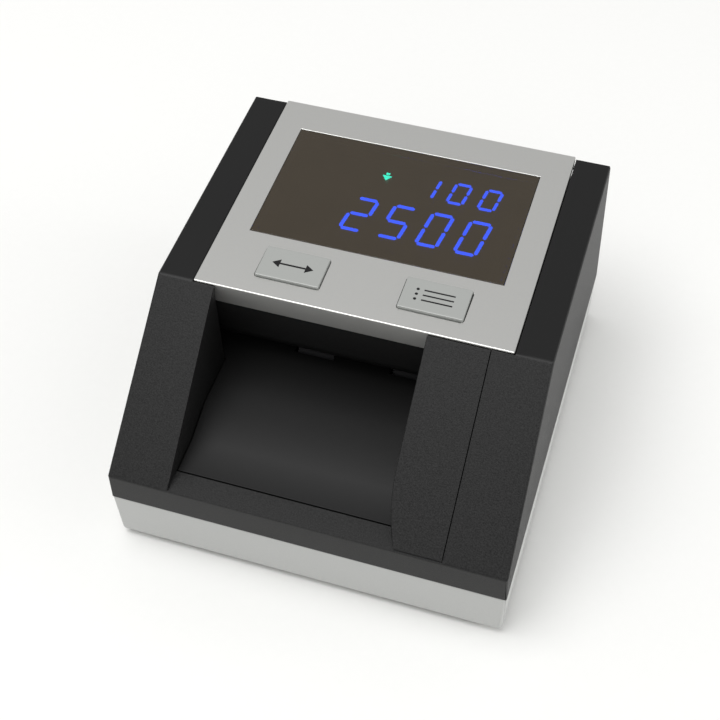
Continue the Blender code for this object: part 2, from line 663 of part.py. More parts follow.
def make_motor():
    centre = motor_place()
    motor = rod("feed_motor", "X", centre, MOTOR_RADIUS, *MOTOR_X, sides=32)
    nose = (MOTOR_X[0] - MOTOR_NOSE, MOTOR_X[0] + SEAM)
    join(motor, rod("motor_nose", "X", centre, MOTOR_NOSE_RADIUS, *nose))
    bore = (MOTOR_X[0] - OVERRUN, MOTOR_X[0] + SPINDLE_DEPTH + 1.0 * MM)
    cut(motor, rod("motor_bore", "X", centre, SPINDLE_RADIUS + RUNNING, *bore))
    settle(motor, "zinc_plate")
    pinion = prism(
        "motor_pinion",
        gear_outline(centre, PINION_TEETH, mesh_angle() + math.pi + math.pi / PINION_TEETH),
        "X",
        *GEAR_X,
    )
    spindle = (GEAR_X[1] - SEAM, MOTOR_X[0] + SPINDLE_DEPTH)
    join(pinion, rod("spindle", "X", centre, SPINDLE_RADIUS, *spindle, 16))
    settle(pinion, "brass", MOTOR_SPINDLE)
    face = MOTOR_X[0] - GAP
    half = MOTOR_RADIUS + 2.0 * MM
    seat = BASE_FLOOR + GAP
    plate_high = (face, centre[0] + half, centre[1] + MOTOR_RADIUS + 1.0 * MM)
    bracket = block("motor_bracket", (face - BRACKET_THICK, centre[0] - half, seat), plate_high)
    foot_low = (face - BRACKET_THICK, centre[0] + half - 1.0 * MM, seat)
    foot_high = (face + MOTOR_RADIUS, centre[0] + 2 * MOTOR_RADIUS, seat + BRACKET_THICK)
    join(bracket, block("bracket_foot", foot_low, foot_high))
    cut(bracket, rod("nose_hole", "X", centre, MOTOR_NOSE_RADIUS + GAP, face - OVERRUN, face + OVERRUN))
    relief_low = (face - OVERRUN, FEED_Y - OVERRUN, centre[1] + MOTOR_RADIUS - 2.0 * MM)
    cut(bracket, block("shaft_relief", relief_low, (face + OVERRUN, FEED_Y + OVERRUN, TOP)))
    settle(bracket, "zinc_plate")


def pierced(name, axis, centre, radius, bore, low, high, sides=24):
    ring = rod(name, axis, centre, radius, low, high, sides)
    cut(ring, rod(f"bore_of_{name}", axis, centre, bore, low - OVERRUN, high + OVERRUN, sides))
    return ring


def make_drive(name, y, body):
    centre = (y, SHAFT_Z)
    shaft = rod(f"{name}_shaft", "X", centre, SHAFT_RADIUS, PULLEY_X[0], LUG_X + LUG_THICK, 16)
    settle(shaft, "steel", body)
    for _, label, x in mirrored(ROLLER_X):
        low, high = x - ROLLER_WIDTH / 2, x + ROLLER_WIDTH / 2
        bore = SHAFT_RADIUS + RUNNING
        roller = pierced(f"{name}_roller_{label}", "X", centre, ROLLER_RADIUS, bore, low, high, 32)
        settle(roller, "roller_rubber", body)
    pulley = pierced(f"{name}_pulley", "X", centre, PULLEY_RADIUS, SHAFT_RADIUS + RUNNING, *PULLEY_X)
    settle(pulley, "white_acetal", body)
    for _, label, x in mirrored(LUG_X):
        low, high = x - LUG_THICK / 2 - 0.5 * MM, x + LUG_THICK / 2 + 0.5 * MM
        bush = pierced(f"{name}_bush_{label}", "X", centre, BUSH_RADIUS, SHAFT_RADIUS + RUNNING, low, high)
        settle(bush, "brass")


def make_drive_gear():
    centre = (FEED_Y, SHAFT_Z)
    gear = prism("drive_gear", gear_outline(centre, GEAR_TEETH, mesh_angle()), "X", *GEAR_X)
    cut(gear, rod("gear_bore", "X", centre, SHAFT_RADIUS + RUNNING, GEAR_X[0] - OVERRUN, GEAR_X[1] + OVERRUN))
    settle(gear, "white_acetal", FEED_DRIVE)


def loop_outline(radius, steps=10):
    """Side view of a belt's inner or outer run round both pulleys."""
    outline = []
    for y, start in ((EXIT_Y, -math.pi / 2), (FEED_Y, math.pi / 2)):
        for step in range(steps + 1):
            angle = start + math.pi * step / steps
            outline.append((y + radius * math.cos(angle), SHAFT_Z + radius * math.sin(angle)))
    return outline


def make_drive_belt():
    inner = PULLEY_RADIUS + GAP
    span = (PULLEY_X[0] + SEAM, PULLEY_X[1] - SEAM)
    belt = prism("drive_belt", loop_outline(inner + BELT_THICK), "X", *span)
    cut(belt, prism("belt_inside", loop_outline(inner), "X", span[0] - OVERRUN, span[1] + OVERRUN))
    settle(belt, "black_rubber")


def make_idler(name, y, body):
    centre = (y, IDLER_Z)
    axle = rod(f"{name}_idler_axle", "X", centre, AXLE_RADIUS, -AXLE_HALF, AXLE_HALF, 16)
    settle(axle, "steel", body)
    for _, label, x in mirrored(ROLLER_X):
        low, high = x - ROLLER_WIDTH / 2, x + ROLLER_WIDTH / 2
        bore = AXLE_RADIUS + RUNNING
        roller = pierced(f"{name}_idler_roller_{label}", "X", centre, IDLER_RADIUS, bore, low, high)
        settle(roller, "roller_rubber", body)


# Hatch


def frame_outline():
    """Side view of the frame: a front that leans back to the slot's lip, then the flat roof of the path."""
    lip_foot = PANEL_TOP - PANEL_LIP_DROP - GAP
    front = PANEL_FRONT + GAP
    behind_lip = PANEL_FRONT + PANEL_LIP_THICK + GAP
    return [
        (behind_lip, FRAME_TOP),
        (behind_lip, lip_foot),
        (front, lip_foot),
        SLOT_LIP,
        (THROAT_Y, CEILING),
        (FRAME_TAIL, CEILING),
        (FRAME_TAIL, CEILING + 4.0 * MM),
        (FRAME_BACK, CEILING + 10.0 * MM),
        (FRAME_BACK, FRAME_TOP),
    ]


def frame_hollow():
    """Side view of the frame's inside, open at the top under the panel."""
    front = PANEL_FRONT + PANEL_LIP_THICK + GAP + FRAME_WALL
    floor = CEILING + FRAME_WALL
    throat = THROAT_Y + FRAME_WALL / 2
    back = FRAME_BACK - FRAME_WALL
    tail = FRAME_TAIL - FRAME_WALL
    return [
        (front, FRAME_TOP + OVERRUN),
        (front, SLOT_LIP[1]),
        (throat, floor),
        (tail, floor),
        (tail, floor + 1.4 * MM),
        (back, floor + 7.3 * MM),
        (back, FRAME_TOP + OVERRUN),
    ]


def make_hatch_frame():
    frame = prism("hatch_frame", frame_outline(), "X", -FRAME_HALF, FRAME_HALF)
    inside = FRAME_HALF - FRAME_WALL
    cut(frame, prism("frame_hollow", frame_hollow(), "X", -inside, inside))
    floor = CEILING + FRAME_WALL - SEAM
    for name, y in (("feed", FEED_Y), ("exit", EXIT_Y)):
        for _, label, x in mirrored(RIB_X):
            low = (x - RIB_THICK / 2, y - 3.5 * MM, floor)
            rib = block(f"rib_{name}_{label}", low, (x + RIB_THICK / 2, y + 3.5 * MM, IDLER_Z + 3.2 * MM))
            join(frame, rib)
            span = (x - RIB_THICK, x + RIB_THICK)
            cut(frame, rod(f"axle_hole_{name}_{label}", "X", (y, IDLER_Z), AXLE_RADIUS + RUNNING, *span))
        for _, label, x in mirrored(ROLLER_X):
            half = ROLLER_WIDTH / 2 + 2 * GAP
            reach = IDLER_RADIUS + GAP
            low = (x - half, y - reach, CEILING - OVERRUN)
            cut(frame, block(f"idler_slot_{name}_{label}", low, (x + half, y + reach, IDLER_Z)))
    low = (-SENSOR_HALF - GAP, SENSOR_Y[0] - GAP, CEILING - OVERRUN)
    cut(frame, block("upper_window_slot", low, (SENSOR_HALF + GAP, SENSOR_Y[1] + GAP, floor + 2 * SEAM)))
    for sign, label, _ in mirrored(FRAME_HALF):
        span = sorted((sign * (FRAME_HALF - 2 * SEAM), sign * (FRAME_HALF - KNUCKLE_WIDTH)))
        arm_low = (span[0], HINGE_Y - 7.0 * MM, HINGE_Z - 2.2 * MM)
        join(frame, block(f"arm_{label}", arm_low, (span[1], HINGE_Y, HINGE_Z + 2.2 * MM)))
        join(frame, rod(f"knuckle_{label}", "X", (HINGE_Y, HINGE_Z), KNUCKLE_RADIUS, *span))
        hole = sorted((sign * (FRAME_HALF + OVERRUN), sign * (FRAME_HALF - KNUCKLE_WIDTH + 0.6 * MM)))
        cut(frame, rod(f"knuckle_hole_{label}", "X", (HINGE_Y, HINGE_Z), PIN_RADIUS + RUNNING, *hole))
    settle(frame, "black_abs", HATCH)


def make_hinge_pins():
    for sign, label, _ in mirrored(FRAME_HALF):
        inner = FRAME_HALF - KNUCKLE_WIDTH + 1.0 * MM
        span = sorted((sign * inner, sign * (WELL_HALF + WELL_WALL)))
        settle(rod(f"hinge_pin_{label}", "X", (HINGE_Y, HINGE_Z), PIN_RADIUS, *span), "steel")


def panel_outline():
    """Side view of the face panel, with the lip over the slot in front and the short lip behind."""
    lip_foot = PANEL_TOP - PANEL_LIP_DROP
    rear_lip = PANEL_REAR - 2.0 * MM
    rear_foot = HINGE_Z + 4.2 * MM
    return [
        (PANEL_FRONT, lip_foot),
        (PANEL_FRONT + PANEL_LIP_THICK, lip_foot),
        (PANEL_FRONT + PANEL_LIP_THICK, PANEL_UNDER),
        (rear_lip, PANEL_UNDER),
        (rear_lip, rear_foot),
        (PANEL_REAR, rear_foot),
        (PANEL_REAR, PANEL_TOP),
        (PANEL_FRONT, PANEL_TOP),
    ]


def make_face_panel():
    upper_edges = edges_above(PANEL_UNDER + SEAM)
    panel = prism("face_panel", panel_outline(), "X", -PANEL_HALF, PANEL_HALF, SMALL_ROUND, 2, upper_edges)
    low = (-WINDOW_HALF - SEAM, WINDOW_FRONT - SEAM, PANEL_TOP - WINDOW_THICK - 2 * SEAM)
    high = (WINDOW_HALF + SEAM, WINDOW_REAR + SEAM, PANEL_TOP + OVERRUN)
    cut(panel, block("window_seat", low, high))
    inner = WINDOW_HALF - WINDOW_REST
    low = (-inner, WINDOW_FRONT + WINDOW_REST, PANEL_UNDER - OVERRUN)
    cut(panel, block("window_hole", low, (inner, WINDOW_REAR - WINDOW_REST, PANEL_TOP)))
    for _, label, x in mirrored(BUTTON_X):
        half_x, half_y = BUTTON_SIZE[0] / 2 + GAP, BUTTON_SIZE[1] / 2 + GAP
        low = (x - half_x, BUTTON_Y - half_y, PANEL_UNDER - OVERRUN)
        high = (x + half_x, BUTTON_Y + half_y, PANEL_TOP + OVERRUN)
        cut(panel, block(f"button_hole_{label}", low, high, HOLE_CORNER, 2, upright))
    for _, label, x in mirrored(BOARD_SCREW_X):
        place = (x, BOARD_SCREW_Y)
        boss = (DISPLAY_BOARD_TOP + GAP, PANEL_UNDER + SEAM)
        join(panel, rod(f"panel_boss_{label}", "Z", place, 2.5 * BOARD_SCREW_RADIUS, *boss))
        pilot = BOARD_SCREW_RADIUS + RUNNING
        cut(panel, rod(f"panel_pilot_{label}", "Z", place, pilot, 0.0, PANEL_UNDER - SEAM))
    settle(panel, "silver_abs", HATCH)


def upright(edge):
    first, second = edge.verts
    return abs(first.co.z - second.co.z) > PANEL_THICK


def make_display():
    low = (-WINDOW_HALF, WINDOW_FRONT, PANEL_TOP - WINDOW_THICK)
    window = block("display_window", low, (WINDOW_HALF, WINDOW_REAR, PANEL_TOP - SEAM / 2))
    settle(window, "smoked_acrylic", HATCH)
    board_low = DISPLAY_BOARD_TOP - BOARD_THICK
    half = FRAME_HALF - FRAME_WALL - 4 * GAP
    front = PANEL_FRONT + PANEL_LIP_THICK + FRAME_WALL + 5 * GAP
    rear = FRAME_BACK - FRAME_WALL - 4 * GAP
    board = block("display_board", (-half, front, board_low), (half, rear, DISPLAY_BOARD_TOP))
    for _, label, x in mirrored(BOARD_SCREW_X):
        place = (x, BOARD_SCREW_Y)
        cut(board, rod(f"board_hole_{label}", "Z", place, BOARD_SCREW_RADIUS + GAP, 0.0, TOP, 16))
        head = (board_low - GAP - 1.4 * MM, board_low - GAP)
        screw = rod(f"board_screw_{label}", "Z", place, 2 * BOARD_SCREW_RADIUS, *head, 16)
        shank = (head[1] - SEAM, PANEL_UNDER - 1.0 * MM)
        join(screw, rod(f"board_shank_{label}", "Z", place, BOARD_SCREW_RADIUS, *shank, 16))
        settle(screw, "zinc_plate", HATCH)
    settle(board, "circuit_board", HATCH)
    low = (-WINDOW_HALF + READOUT_INSET, WINDOW_FRONT + READOUT_INSET, DISPLAY_BOARD_TOP + GAP)
    high = (WINDOW_HALF - READOUT_INSET, WINDOW_REAR - READOUT_INSET, PANEL_UNDER - 4 * GAP)
    settle(block("readout", low, high), "readout_epoxy", HATCH)


def make_buttons():
    flange_top = PANEL_UNDER - GAP
    flange_low = flange_top - BUTTON_FLANGE
    plunger_low = flange_low - 1.0 * MM
    stem_top = plunger_low - BUTTON_TRAVEL - GAP
    half_x, half_y = BUTTON_SIZE[0] / 2, BUTTON_SIZE[1] / 2
    bodies = {"left": (LEFT_BUTTON, "clear_button"), "right": (RIGHT_BUTTON, "report_button")}
    for _, label, x in mirrored(BUTTON_X):
        body, name = bodies[label]
        low = (x - half_x, BUTTON_Y - half_y, flange_top - SEAM)
        high = (x + half_x, BUTTON_Y + half_y, PANEL_TOP + BUTTON_PROUD)
        cap = block(name, low, high, SMALL_ROUND, 2, edges_above(flange_top + SEAM))
        border = 1.0 * MM
        low = (x - half_x - border, BUTTON_Y - half_y - border, flange_low)
        join(cap, block(f"{name}_flange", low, (x + half_x + border, BUTTON_Y + half_y + border, flange_top)))
        place = (x, BUTTON_Y)
        join(cap, rod(f"{name}_plunger", "Z", place, 2.0 * MM, plunger_low, flange_low + SEAM, 16))
        settle(cap, "button_abs", body)
        half = 3.0 * MM
        low = (x - half, BUTTON_Y - half, DISPLAY_BOARD_TOP + GAP)
        switch = block(f"tact_switch_{label}", low, (x + half, BUTTON_Y + half, stem_top - 0.6 * MM))
        join(switch, rod(f"switch_stem_{label}", "Z", place, 1.6 * MM, stem_top - 0.8 * MM, stem_top, 16))
        settle(switch, "readout_epoxy", HATCH)


def make_sensors():
    sunk = 0.1 * MM
    low = (-SENSOR_HALF, SENSOR_Y[0], PATH_LEVEL - TABLE_THICK + sunk)
    window = block("lower_sensor_window", low, (SENSOR_HALF, SENSOR_Y[1], PATH_LEVEL - sunk))
    settle(window, "clear_acrylic")
    low = (-SENSOR_HALF, SENSOR_Y[0], CEILING + sunk)
    window = block("upper_sensor_window", low, (SENSOR_HALF, SENSOR_Y[1], CEILING + FRAME_WALL - sunk))
    settle(window, "clear_acrylic", HATCH)
    border = 2.0 * MM
    front, rear = SENSOR_Y[0] - border, SENSOR_Y[1] + border
    top = PATH_LEVEL - TABLE_THICK - GAP
    board = block("lower_sensor_board", (-SENSOR_HALF, front, top - 5.0 * MM), (SENSOR_HALF, rear, top))
    settle(board, "circuit_board")
    foot = CEILING + FRAME_WALL + GAP
    board = block("upper_sensor_board", (-SENSOR_HALF, front, foot), (SENSOR_HALF, rear, foot + 5.0 * MM))
    settle(board, "circuit_board", HATCH)
    low = (-HEAD_HALF, HEAD_Y[0], PATH_LEVEL - 8.0 * MM)
    head = block("magnetic_head", low, (HEAD_HALF, HEAD_Y[1], PATH_LEVEL + sunk), SMALL_ROUND)
    settle(head, "steel")


def make_idler_springs():
    for name, y in (("feed", FEED_Y), ("exit", EXIT_Y)):
        low = (-RIB_X + RIB_THICK, y - 2.0 * MM, IDLER_Z + AXLE_RADIUS + GAP)
        blade = block(f"{name}_idler_spring", low, (RIB_X - RIB_THICK, y + 2.0 * MM, low[2] + 0.5 * MM))
        for _, label, x in mirrored(ROLLER_X):
            reach = ROLLER_WIDTH / 2 + GAP
            low_cut = (x - reach, y - OVERRUN, low[2] - OVERRUN)
            high_cut = (x + reach, y + OVERRUN, IDLER_Z + IDLER_RADIUS + GAP)
            raised = block(
                f"{name}_arch_{label}",
                (x - reach - 0.5 * MM, y - 2.0 * MM, low[2]),
                (x + reach + 0.5 * MM, y + 2.0 * MM, IDLER_Z + IDLER_RADIUS + GAP + 0.5 * MM),
            )
            join(blade, raised)
            cut(blade, block(f"{name}_arch_room_{label}", low_cut, high_cut))
        settle(blade, "steel", HATCH)


# Electrics in the base


def make_main_board():
    low = (-16.0 * MM, 76.0 * MM, MAIN_BOARD_Z)
    board = block("main_board", low, (38.0 * MM, HOUSING_DEPTH - WALL - 2.0 * MM, MAIN_BOARD_Z + BOARD_THICK))
    settle(board, "circuit_board")


def make_dc_jack():
    centre = (JACK_X, REAR_FITTING_Z)
    front = HOUSING_DEPTH - WALL - 10.0 * MM
    body_rear = HOUSING_DEPTH - WALL - BASE_INSET - GAP
    mouth = HOUSING_DEPTH - BASE_INSET
    low = (JACK_X - 4.5 * MM, front, MAIN_BOARD_Z + BOARD_THICK + GAP)
    jack = block("dc_jack", low, (JACK_X + 4.5 * MM, body_rear, REAR_FITTING_Z + 5.0 * MM))
    join(jack, rod("jack_nose", "Y", centre, JACK_RADIUS, body_rear - SEAM, mouth))
    cut(jack, rod("jack_bore", "Y", centre, JACK_BORE, front + 1.6 * MM, mouth + OVERRUN))
    join(jack, rod("jack_pin", "Y", centre, JACK_PIN, front + 1.0 * MM, mouth - 1.2 * MM, 16))
    settle(jack, "readout_epoxy")


def make_power_switch():
    width, height = SWITCH_SIZE
    rear = HOUSING_DEPTH + GAP
    bezel_rear = HOUSING_DEPTH + BEZEL_PROUD
    low = (SWITCH_X - width / 2, HOUSING_DEPTH - 11.0 * MM, REAR_FITTING_Z - height / 2)
    high = (SWITCH_X + width / 2, rear, REAR_FITTING_Z + height / 2)
    switch = block("switch_housing", low, high)
    half = (width / 2 + BEZEL_BORDER, height / 2 + BEZEL_BORDER)
    low = (SWITCH_X - half[0], HOUSING_DEPTH + SEAM, REAR_FITTING_Z - half[1])
    join(switch, block("switch_bezel", low, (SWITCH_X + half[0], bezel_rear, REAR_FITTING_Z + half[1])))
    pocket = (width / 2 - BEZEL_BORDER, height / 2 - BEZEL_BORDER)
    low = (SWITCH_X - pocket[0], HOUSING_DEPTH - 7.0 * MM, REAR_FITTING_Z - pocket[1])
    high = (SWITCH_X + pocket[0], HOUSING_DEPTH + OVERRUN, REAR_FITTING_Z + pocket[1])
    cut(switch, block("switch_pocket", low, high))
    settle(switch, "readout_epoxy")
    make_rocker(pocket)


def make_rocker(pocket):
    """A rocker with two faces at a shallow angle; at rest its left face is pressed in flush."""
    pivot_y = HOUSING_DEPTH - ROCKER_DEPTH
    reach = pocket[0] - 2 * GAP
    dip = reach * math.tan(ROCKER_TILT)
    crown = ROCKER_DEPTH - 0.4 * MM
    faces = [(-reach, crown), (0.0, crown - dip), (reach, crown)]
    keel = [(reach * 0.8, -1.0 * MM), (0.0, -2.4 * MM), (-reach * 0.8, -1.0 * MM)]
    half = pocket[1] - GAP
    low, high = REAR_FITTING_Z - half, REAR_FITTING_Z + half
    rocker = prism("power_rocker", faces + keel, "Z", low, high)
    turn = Matrix.Rotation(ROCKER_TILT, 4, "Z")
    rocker.data.transform(Matrix.Translation((SWITCH_X, pivot_y, 0.0)) @ turn)
    settle(rocker, "black_abs", ROCKER)


def main():
    make_base_tray()
    make_upper_housing()
    make_feet()
    make_case_screws()
    make_bill_table()
    make_bill_guide()
    make_motor()
    make_drive("feed", FEED_Y, FEED_DRIVE)
    make_drive("exit", EXIT_Y, EXIT_DRIVE)
    make_drive_gear()
    make_drive_belt()
    make_idler("feed", FEED_Y, FEED_IDLER)
    make_idler("exit", EXIT_Y, EXIT_IDLER)
    make_hatch_frame()
    make_hinge_pins()
    make_face_panel()
    make_display()
    make_buttons()
    make_sensors()
    make_idler_springs()
    make_main_board()
    make_dc_jack()
    make_power_switch()


main()
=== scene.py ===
"""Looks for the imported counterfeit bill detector: finishes, lit readout, button marks and fine edges.

It is laid out as a Blender add-on and run as a script. Lengths are in metres, and every piece stays in
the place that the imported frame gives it.
"""

import json
import math

import bmesh
import bpy
from bpy.props import FloatProperty, FloatVectorProperty, IntProperty, PointerProperty, StringProperty
from mathutils import Matrix, Vector


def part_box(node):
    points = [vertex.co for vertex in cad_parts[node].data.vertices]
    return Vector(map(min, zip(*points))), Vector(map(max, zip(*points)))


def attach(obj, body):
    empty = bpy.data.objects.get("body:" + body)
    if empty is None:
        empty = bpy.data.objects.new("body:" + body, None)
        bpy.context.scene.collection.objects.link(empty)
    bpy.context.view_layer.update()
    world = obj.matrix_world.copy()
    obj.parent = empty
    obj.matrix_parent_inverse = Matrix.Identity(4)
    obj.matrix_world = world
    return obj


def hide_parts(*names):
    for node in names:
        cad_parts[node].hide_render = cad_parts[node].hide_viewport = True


bl_info = {
    "name": "Counterfeit Bill Detector",
    "version": (1, 0, 0),
    "blender": (4, 5, 0),
    "location": "View3D > Sidebar > Detector",
    "description": "Builds the finishes and fine pieces of a banknote checker around its packed frame",
    "category": "Object",
}

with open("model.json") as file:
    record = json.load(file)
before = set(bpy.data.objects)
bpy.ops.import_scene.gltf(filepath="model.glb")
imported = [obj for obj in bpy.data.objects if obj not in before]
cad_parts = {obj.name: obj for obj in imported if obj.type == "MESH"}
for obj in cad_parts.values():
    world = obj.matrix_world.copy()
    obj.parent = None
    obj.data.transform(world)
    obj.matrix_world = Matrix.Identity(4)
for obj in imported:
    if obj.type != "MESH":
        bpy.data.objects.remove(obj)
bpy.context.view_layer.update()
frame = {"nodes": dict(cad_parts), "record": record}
RECORD = frame["record"]
BODY_OF = {node: body for body, nodes in RECORD["behaviour"]["bodies"].items() for node in nodes}

MM = 0.001
MOST_UNEVEN_GLOSS = 0.05

# Points closer than WELD become one, and faces that turn less than FLAT_ANGLE become one flat face
WELD = 0.002 * MM
FLAT_ANGLE = math.radians(0.4)

# An edge is rounded when it is long, sharp and has this many widths of room beside it
SHORTEST_ROUNDED = 2.0 * MM
ROUNDED_ANGLE = math.radians(35)
ROUND_ROOM = 1.15
FINE_ROUND = 0.2 * MM
CRISP_ROUND = 0.15 * MM

# Faces shade into each other when the cosine of the turn between them is more than this
SOFT_TURN = math.cos(math.radians(38))

# The two top strips, which get the black darkened as painted shade, are the level faces this near to the
# housing's top
TOP_REACH = 0.1 * MM


def low_of(node):
    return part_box(node)[0]


def high_of(node):
    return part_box(node)[1]


def centre_of(node):
    return (low_of(node) + high_of(node)) / 2


# Colours and shader nodes


def linear(hex_colour):
    """An sRGB hex colour such as B1B2AF as a linear RGBA tuple."""
    parts = [int(hex_colour[at : at + 2], 16) / 255 for at in (0, 2, 4)]
    return (*((p / 12.92 if p <= 0.04045 else ((p + 0.055) / 1.055) ** 2.4) for p in parts), 1.0)


def add_node(tree, kind, settings=None, inputs=None, links=None):
    """Adds a node, sets its properties and socket values, and links sockets from (node, output) pairs."""
    node = tree.nodes.new(kind)
    for name, value in (settings or {}).items():
        setattr(node, name, value)
    for name, value in (inputs or {}).items():
        node.inputs[name].default_value = value
    for name, (source, output) in (links or {}).items():
        tree.links.new(source.outputs[output], node.inputs[name])
    return node


def new_material(name, colour, roughness, **sockets):
    """A Principled material with these uniform values, with its tree and shader."""
    material = bpy.data.materials.new(name)
    material.use_nodes = True
    shader = material.node_tree.nodes["Principled BSDF"]
    shader.inputs["Base Color"].default_value = (*colour[:3], 1.0)
    shader.inputs["Roughness"].default_value = roughness
    for socket, value in sockets.items():
        shader.inputs[socket.replace("_", " ")].default_value = value
    material.diffuse_color = (*colour[:3], 1.0)
    return material, material.node_tree, shader


def grained(name, colour, roughness, grain, relief, mottle, stretch=(1.0, 1.0, 1.0), **sockets):
    """A finish whose fine grain gives relief, uneven gloss and a change of tone.

    grain and relief are the size and depth of the grain. mottle is the change of tone as a share of the
    colour, and the gloss changes by as much, up to MOST_UNEVEN_GLOSS.
    """
    material, tree, shader = new_material(name, colour, roughness, **sockets)
    place = add_node(tree, "ShaderNodeTexCoord")
    along = add_node(
        tree, "ShaderNodeMapping", inputs={"Scale": stretch}, links={"Vector": (place, "Object")}
    )
    noise = add_node(
        tree,
        "ShaderNodeTexNoise",
        inputs={"Scale": 1.0 / grain, "Detail": 3.0, "Roughness": 0.65},
        links={"Vector": (along, 0)},
    )
    tone = add_node(tree, "ShaderNodeValToRGB", links={"Fac": (noise, 0)})
    changes = ((0.32, max(1 - mottle, 0.0)), (0.68, 1 + mottle))
    for stop, (position, change) in zip(tone.color_ramp.elements, changes):
        stop.position = position
        stop.color = (*(min(part * change, 1.0) for part in colour[:3]), 1.0)
    swing = min(mottle, MOST_UNEVEN_GLOSS)
    gloss = add_node(
        tree,
        "ShaderNodeMapRange",
        inputs={"From Min": 0.3, "From Max": 0.7, "To Min": roughness - swing, "To Max": roughness + swing},
        links={"Value": (noise, 0)},
    )
    bump = add_node(
        tree, "ShaderNodeBump", inputs={"Strength": 1.0, "Distance": relief}, links={"Height": (noise, 0)}
    )
    tree.links.new(tone.outputs["Color"], shader.inputs["Base Color"])
    tree.links.new(gloss.outputs["Result"], shader.inputs["Roughness"])
    tree.links.new(bump.outputs["Normal"], shader.inputs["Normal"])
    return material


# Settings that a user would change


class CaseSettings(bpy.types.PropertyGroup):
    """Finish of the moulded case."""

    edge_round: FloatProperty(
        name="Edge round",
        description="Radius given to the outer edges of the mouldings",
        default=0.3 * MM,
        unit="LENGTH",
    )
    grey: FloatVectorProperty(
        name="Grey", description="Colour of the base tray", default=linear("BDBEBC")[:3], subtype="COLOR"
    )
    silver: FloatVectorProperty(
        name="Silver", description="Colour of the face panel", default=linear("D9D9D6")[:3], subtype="COLOR"
    )
    button_grey: FloatVectorProperty(
        name="Button grey",
        description="Colour of the two buttons",
        default=linear("A7A9A6")[:3],
        subtype="COLOR",
    )
    black: FloatVectorProperty(
        name="Black",
        description="Colour of the textured black mouldings",
        default=linear("1A1A1A")[:3],
        subtype="COLOR",
    )
    spark_grain: FloatProperty(
        name="Spark grain",
        description="Grain of the spark-eroded mould; the real 0.15 mm is drawn coarser so that it shows",
        default=0.42 * MM,
        unit="LENGTH",
    )


class ReadoutSettings(bpy.types.PropertyGroup):
    """Seven-segment rows behind the smoked window."""

    upper_text: StringProperty(name="Upper row", description="Figures of the small row", default="100")
    lower_text: StringProperty(name="Lower row", description="Figures of the large row", default="2500")
    upper_height: FloatProperty(
        name="Upper height", description="Height of the small characters", default=9.9 * MM, unit="LENGTH"
    )
    lower_height: FloatProperty(
        name="Lower height", description="Height of the large characters", default=15.4 * MM, unit="LENGTH"
    )
    blue: FloatVectorProperty(
        name="Blue", description="Light of the segments", default=linear("044EFF")[:3], subtype="COLOR"
    )
    green: FloatVectorProperty(
        name="Green", description="Light of the arrows", default=linear("04E7C3")[:3], subtype="COLOR"
    )
    glow: FloatProperty(name="Glow", description="Strength of the light", default=28.0, min=0.0)


class DriveSettings(bpy.types.PropertyGroup):
    """Fine pieces of the note drive and the fasteners."""

    rib_count: IntProperty(name="Ribs", description="Ribs round each feed roller", default=24, min=3)
    rib_height: FloatProperty(
        name="Rib height", description="Depth between ribs", default=0.35 * MM, unit="LENGTH"
    )
    head_height: FloatProperty(
        name="Screw head", description="Height of a screw's head", default=2.0 * MM, unit="LENGTH"
    )
    shank_radius: FloatProperty(
        name="Shank", description="Radius of a case screw", default=1.45 * MM, unit="LENGTH"
    )


class StageSettings(bpy.types.PropertyGroup):
    """Camera, floor and lights."""

    place: FloatVectorProperty(
        name="Camera place",
        description="Place of the camera",
        default=(85.2 * MM, -265.0 * MM, 373.0 * MM),
        subtype="TRANSLATION",
    )
    heading: FloatProperty(
        name="Heading",
        description="Turn of the camera to the left",
        default=math.radians(18.47),
        subtype="ANGLE",
    )
    dip: FloatProperty(
        name="Dip",
        description="Angle that the camera looks down by",
        default=math.radians(50.87),
        subtype="ANGLE",
    )
    tilt: FloatProperty(
        name="Tilt", description="Roll of the camera", default=math.radians(-1.3), subtype="ANGLE"
    )
    lens: FloatProperty(name="Lens", description="Focal length in mm on a 36 mm sensor", default=67.15)
    sky: FloatProperty(name="Sky", description="Strength of the even white surroundings", default=0.55)
    key: FloatProperty(name="Key", description="Power of the soft box in watts", default=11.5)
    fill: FloatProperty(name="Fill", description="Power of the low light on the right in watts", default=3.2)


SETTINGS = {
    "detector_case": CaseSettings,
    "detector_readout": ReadoutSettings,
    "detector_drive": DriveSettings,
    "detector_stage": StageSettings,
}


# Materials, each named for what the real one is

# Grain drawn out into rings round a piece that was turned along X
RINGS_ROUND_X = (6.0, 0.3, 0.3)


def spark_eroded_black_abs(case):
    """Injection-moulded ABS from a spark-eroded mould: an even matt black with a fine pebbled sparkle."""
    name = "spark_eroded_black_abs"
    return grained(name, case.black, 0.5, case.spark_grain, 0.05 * MM, 1.0, Specular_IOR_Level=0.33)


def fine_black_abs_painted_shade(case):
    """The same ABS where the mould was stoned finer: smoother and finer in grain, with its black darkened a
    little as painted shade for the less lit top strips.
    """
    # Painted shade: the colour is darkened to stand for the light falling less on the level top strips
    darker = [part * 0.8 for part in case.black]
    grain = 0.6 * case.spark_grain
    return grained("fine_black_abs_painted_shade", darker, 0.45, grain, 0.004 * MM, 0.07, Specular_IOR_Level=0.22)


def satin_grey_abs(case):
    """Injection-moulded ABS coloured light grey, with a satin mould finish that looks even and soft."""
    return grained("satin_grey_abs", case.grey, 0.5, 0.5 * MM, 0.004 * MM, 0.025)


def silver_painted_abs(case):
    """ABS sprayed with a satin silver-grey paint: fine flakes make a barely visible change of tone."""
    return grained("silver_painted_abs", case.silver, 0.31, 0.35 * MM, 0.0004 * MM, 0.012, Metallic=0.95)


def silver_painted_button(case):
    """The buttons' paint, a shade darker than the panel and a little smoother from handling."""
    name = "silver_painted_button"
    return grained(name, case.button_grey, 0.36, 0.35 * MM, 0.0006 * MM, 0.015, Metallic=0.2)


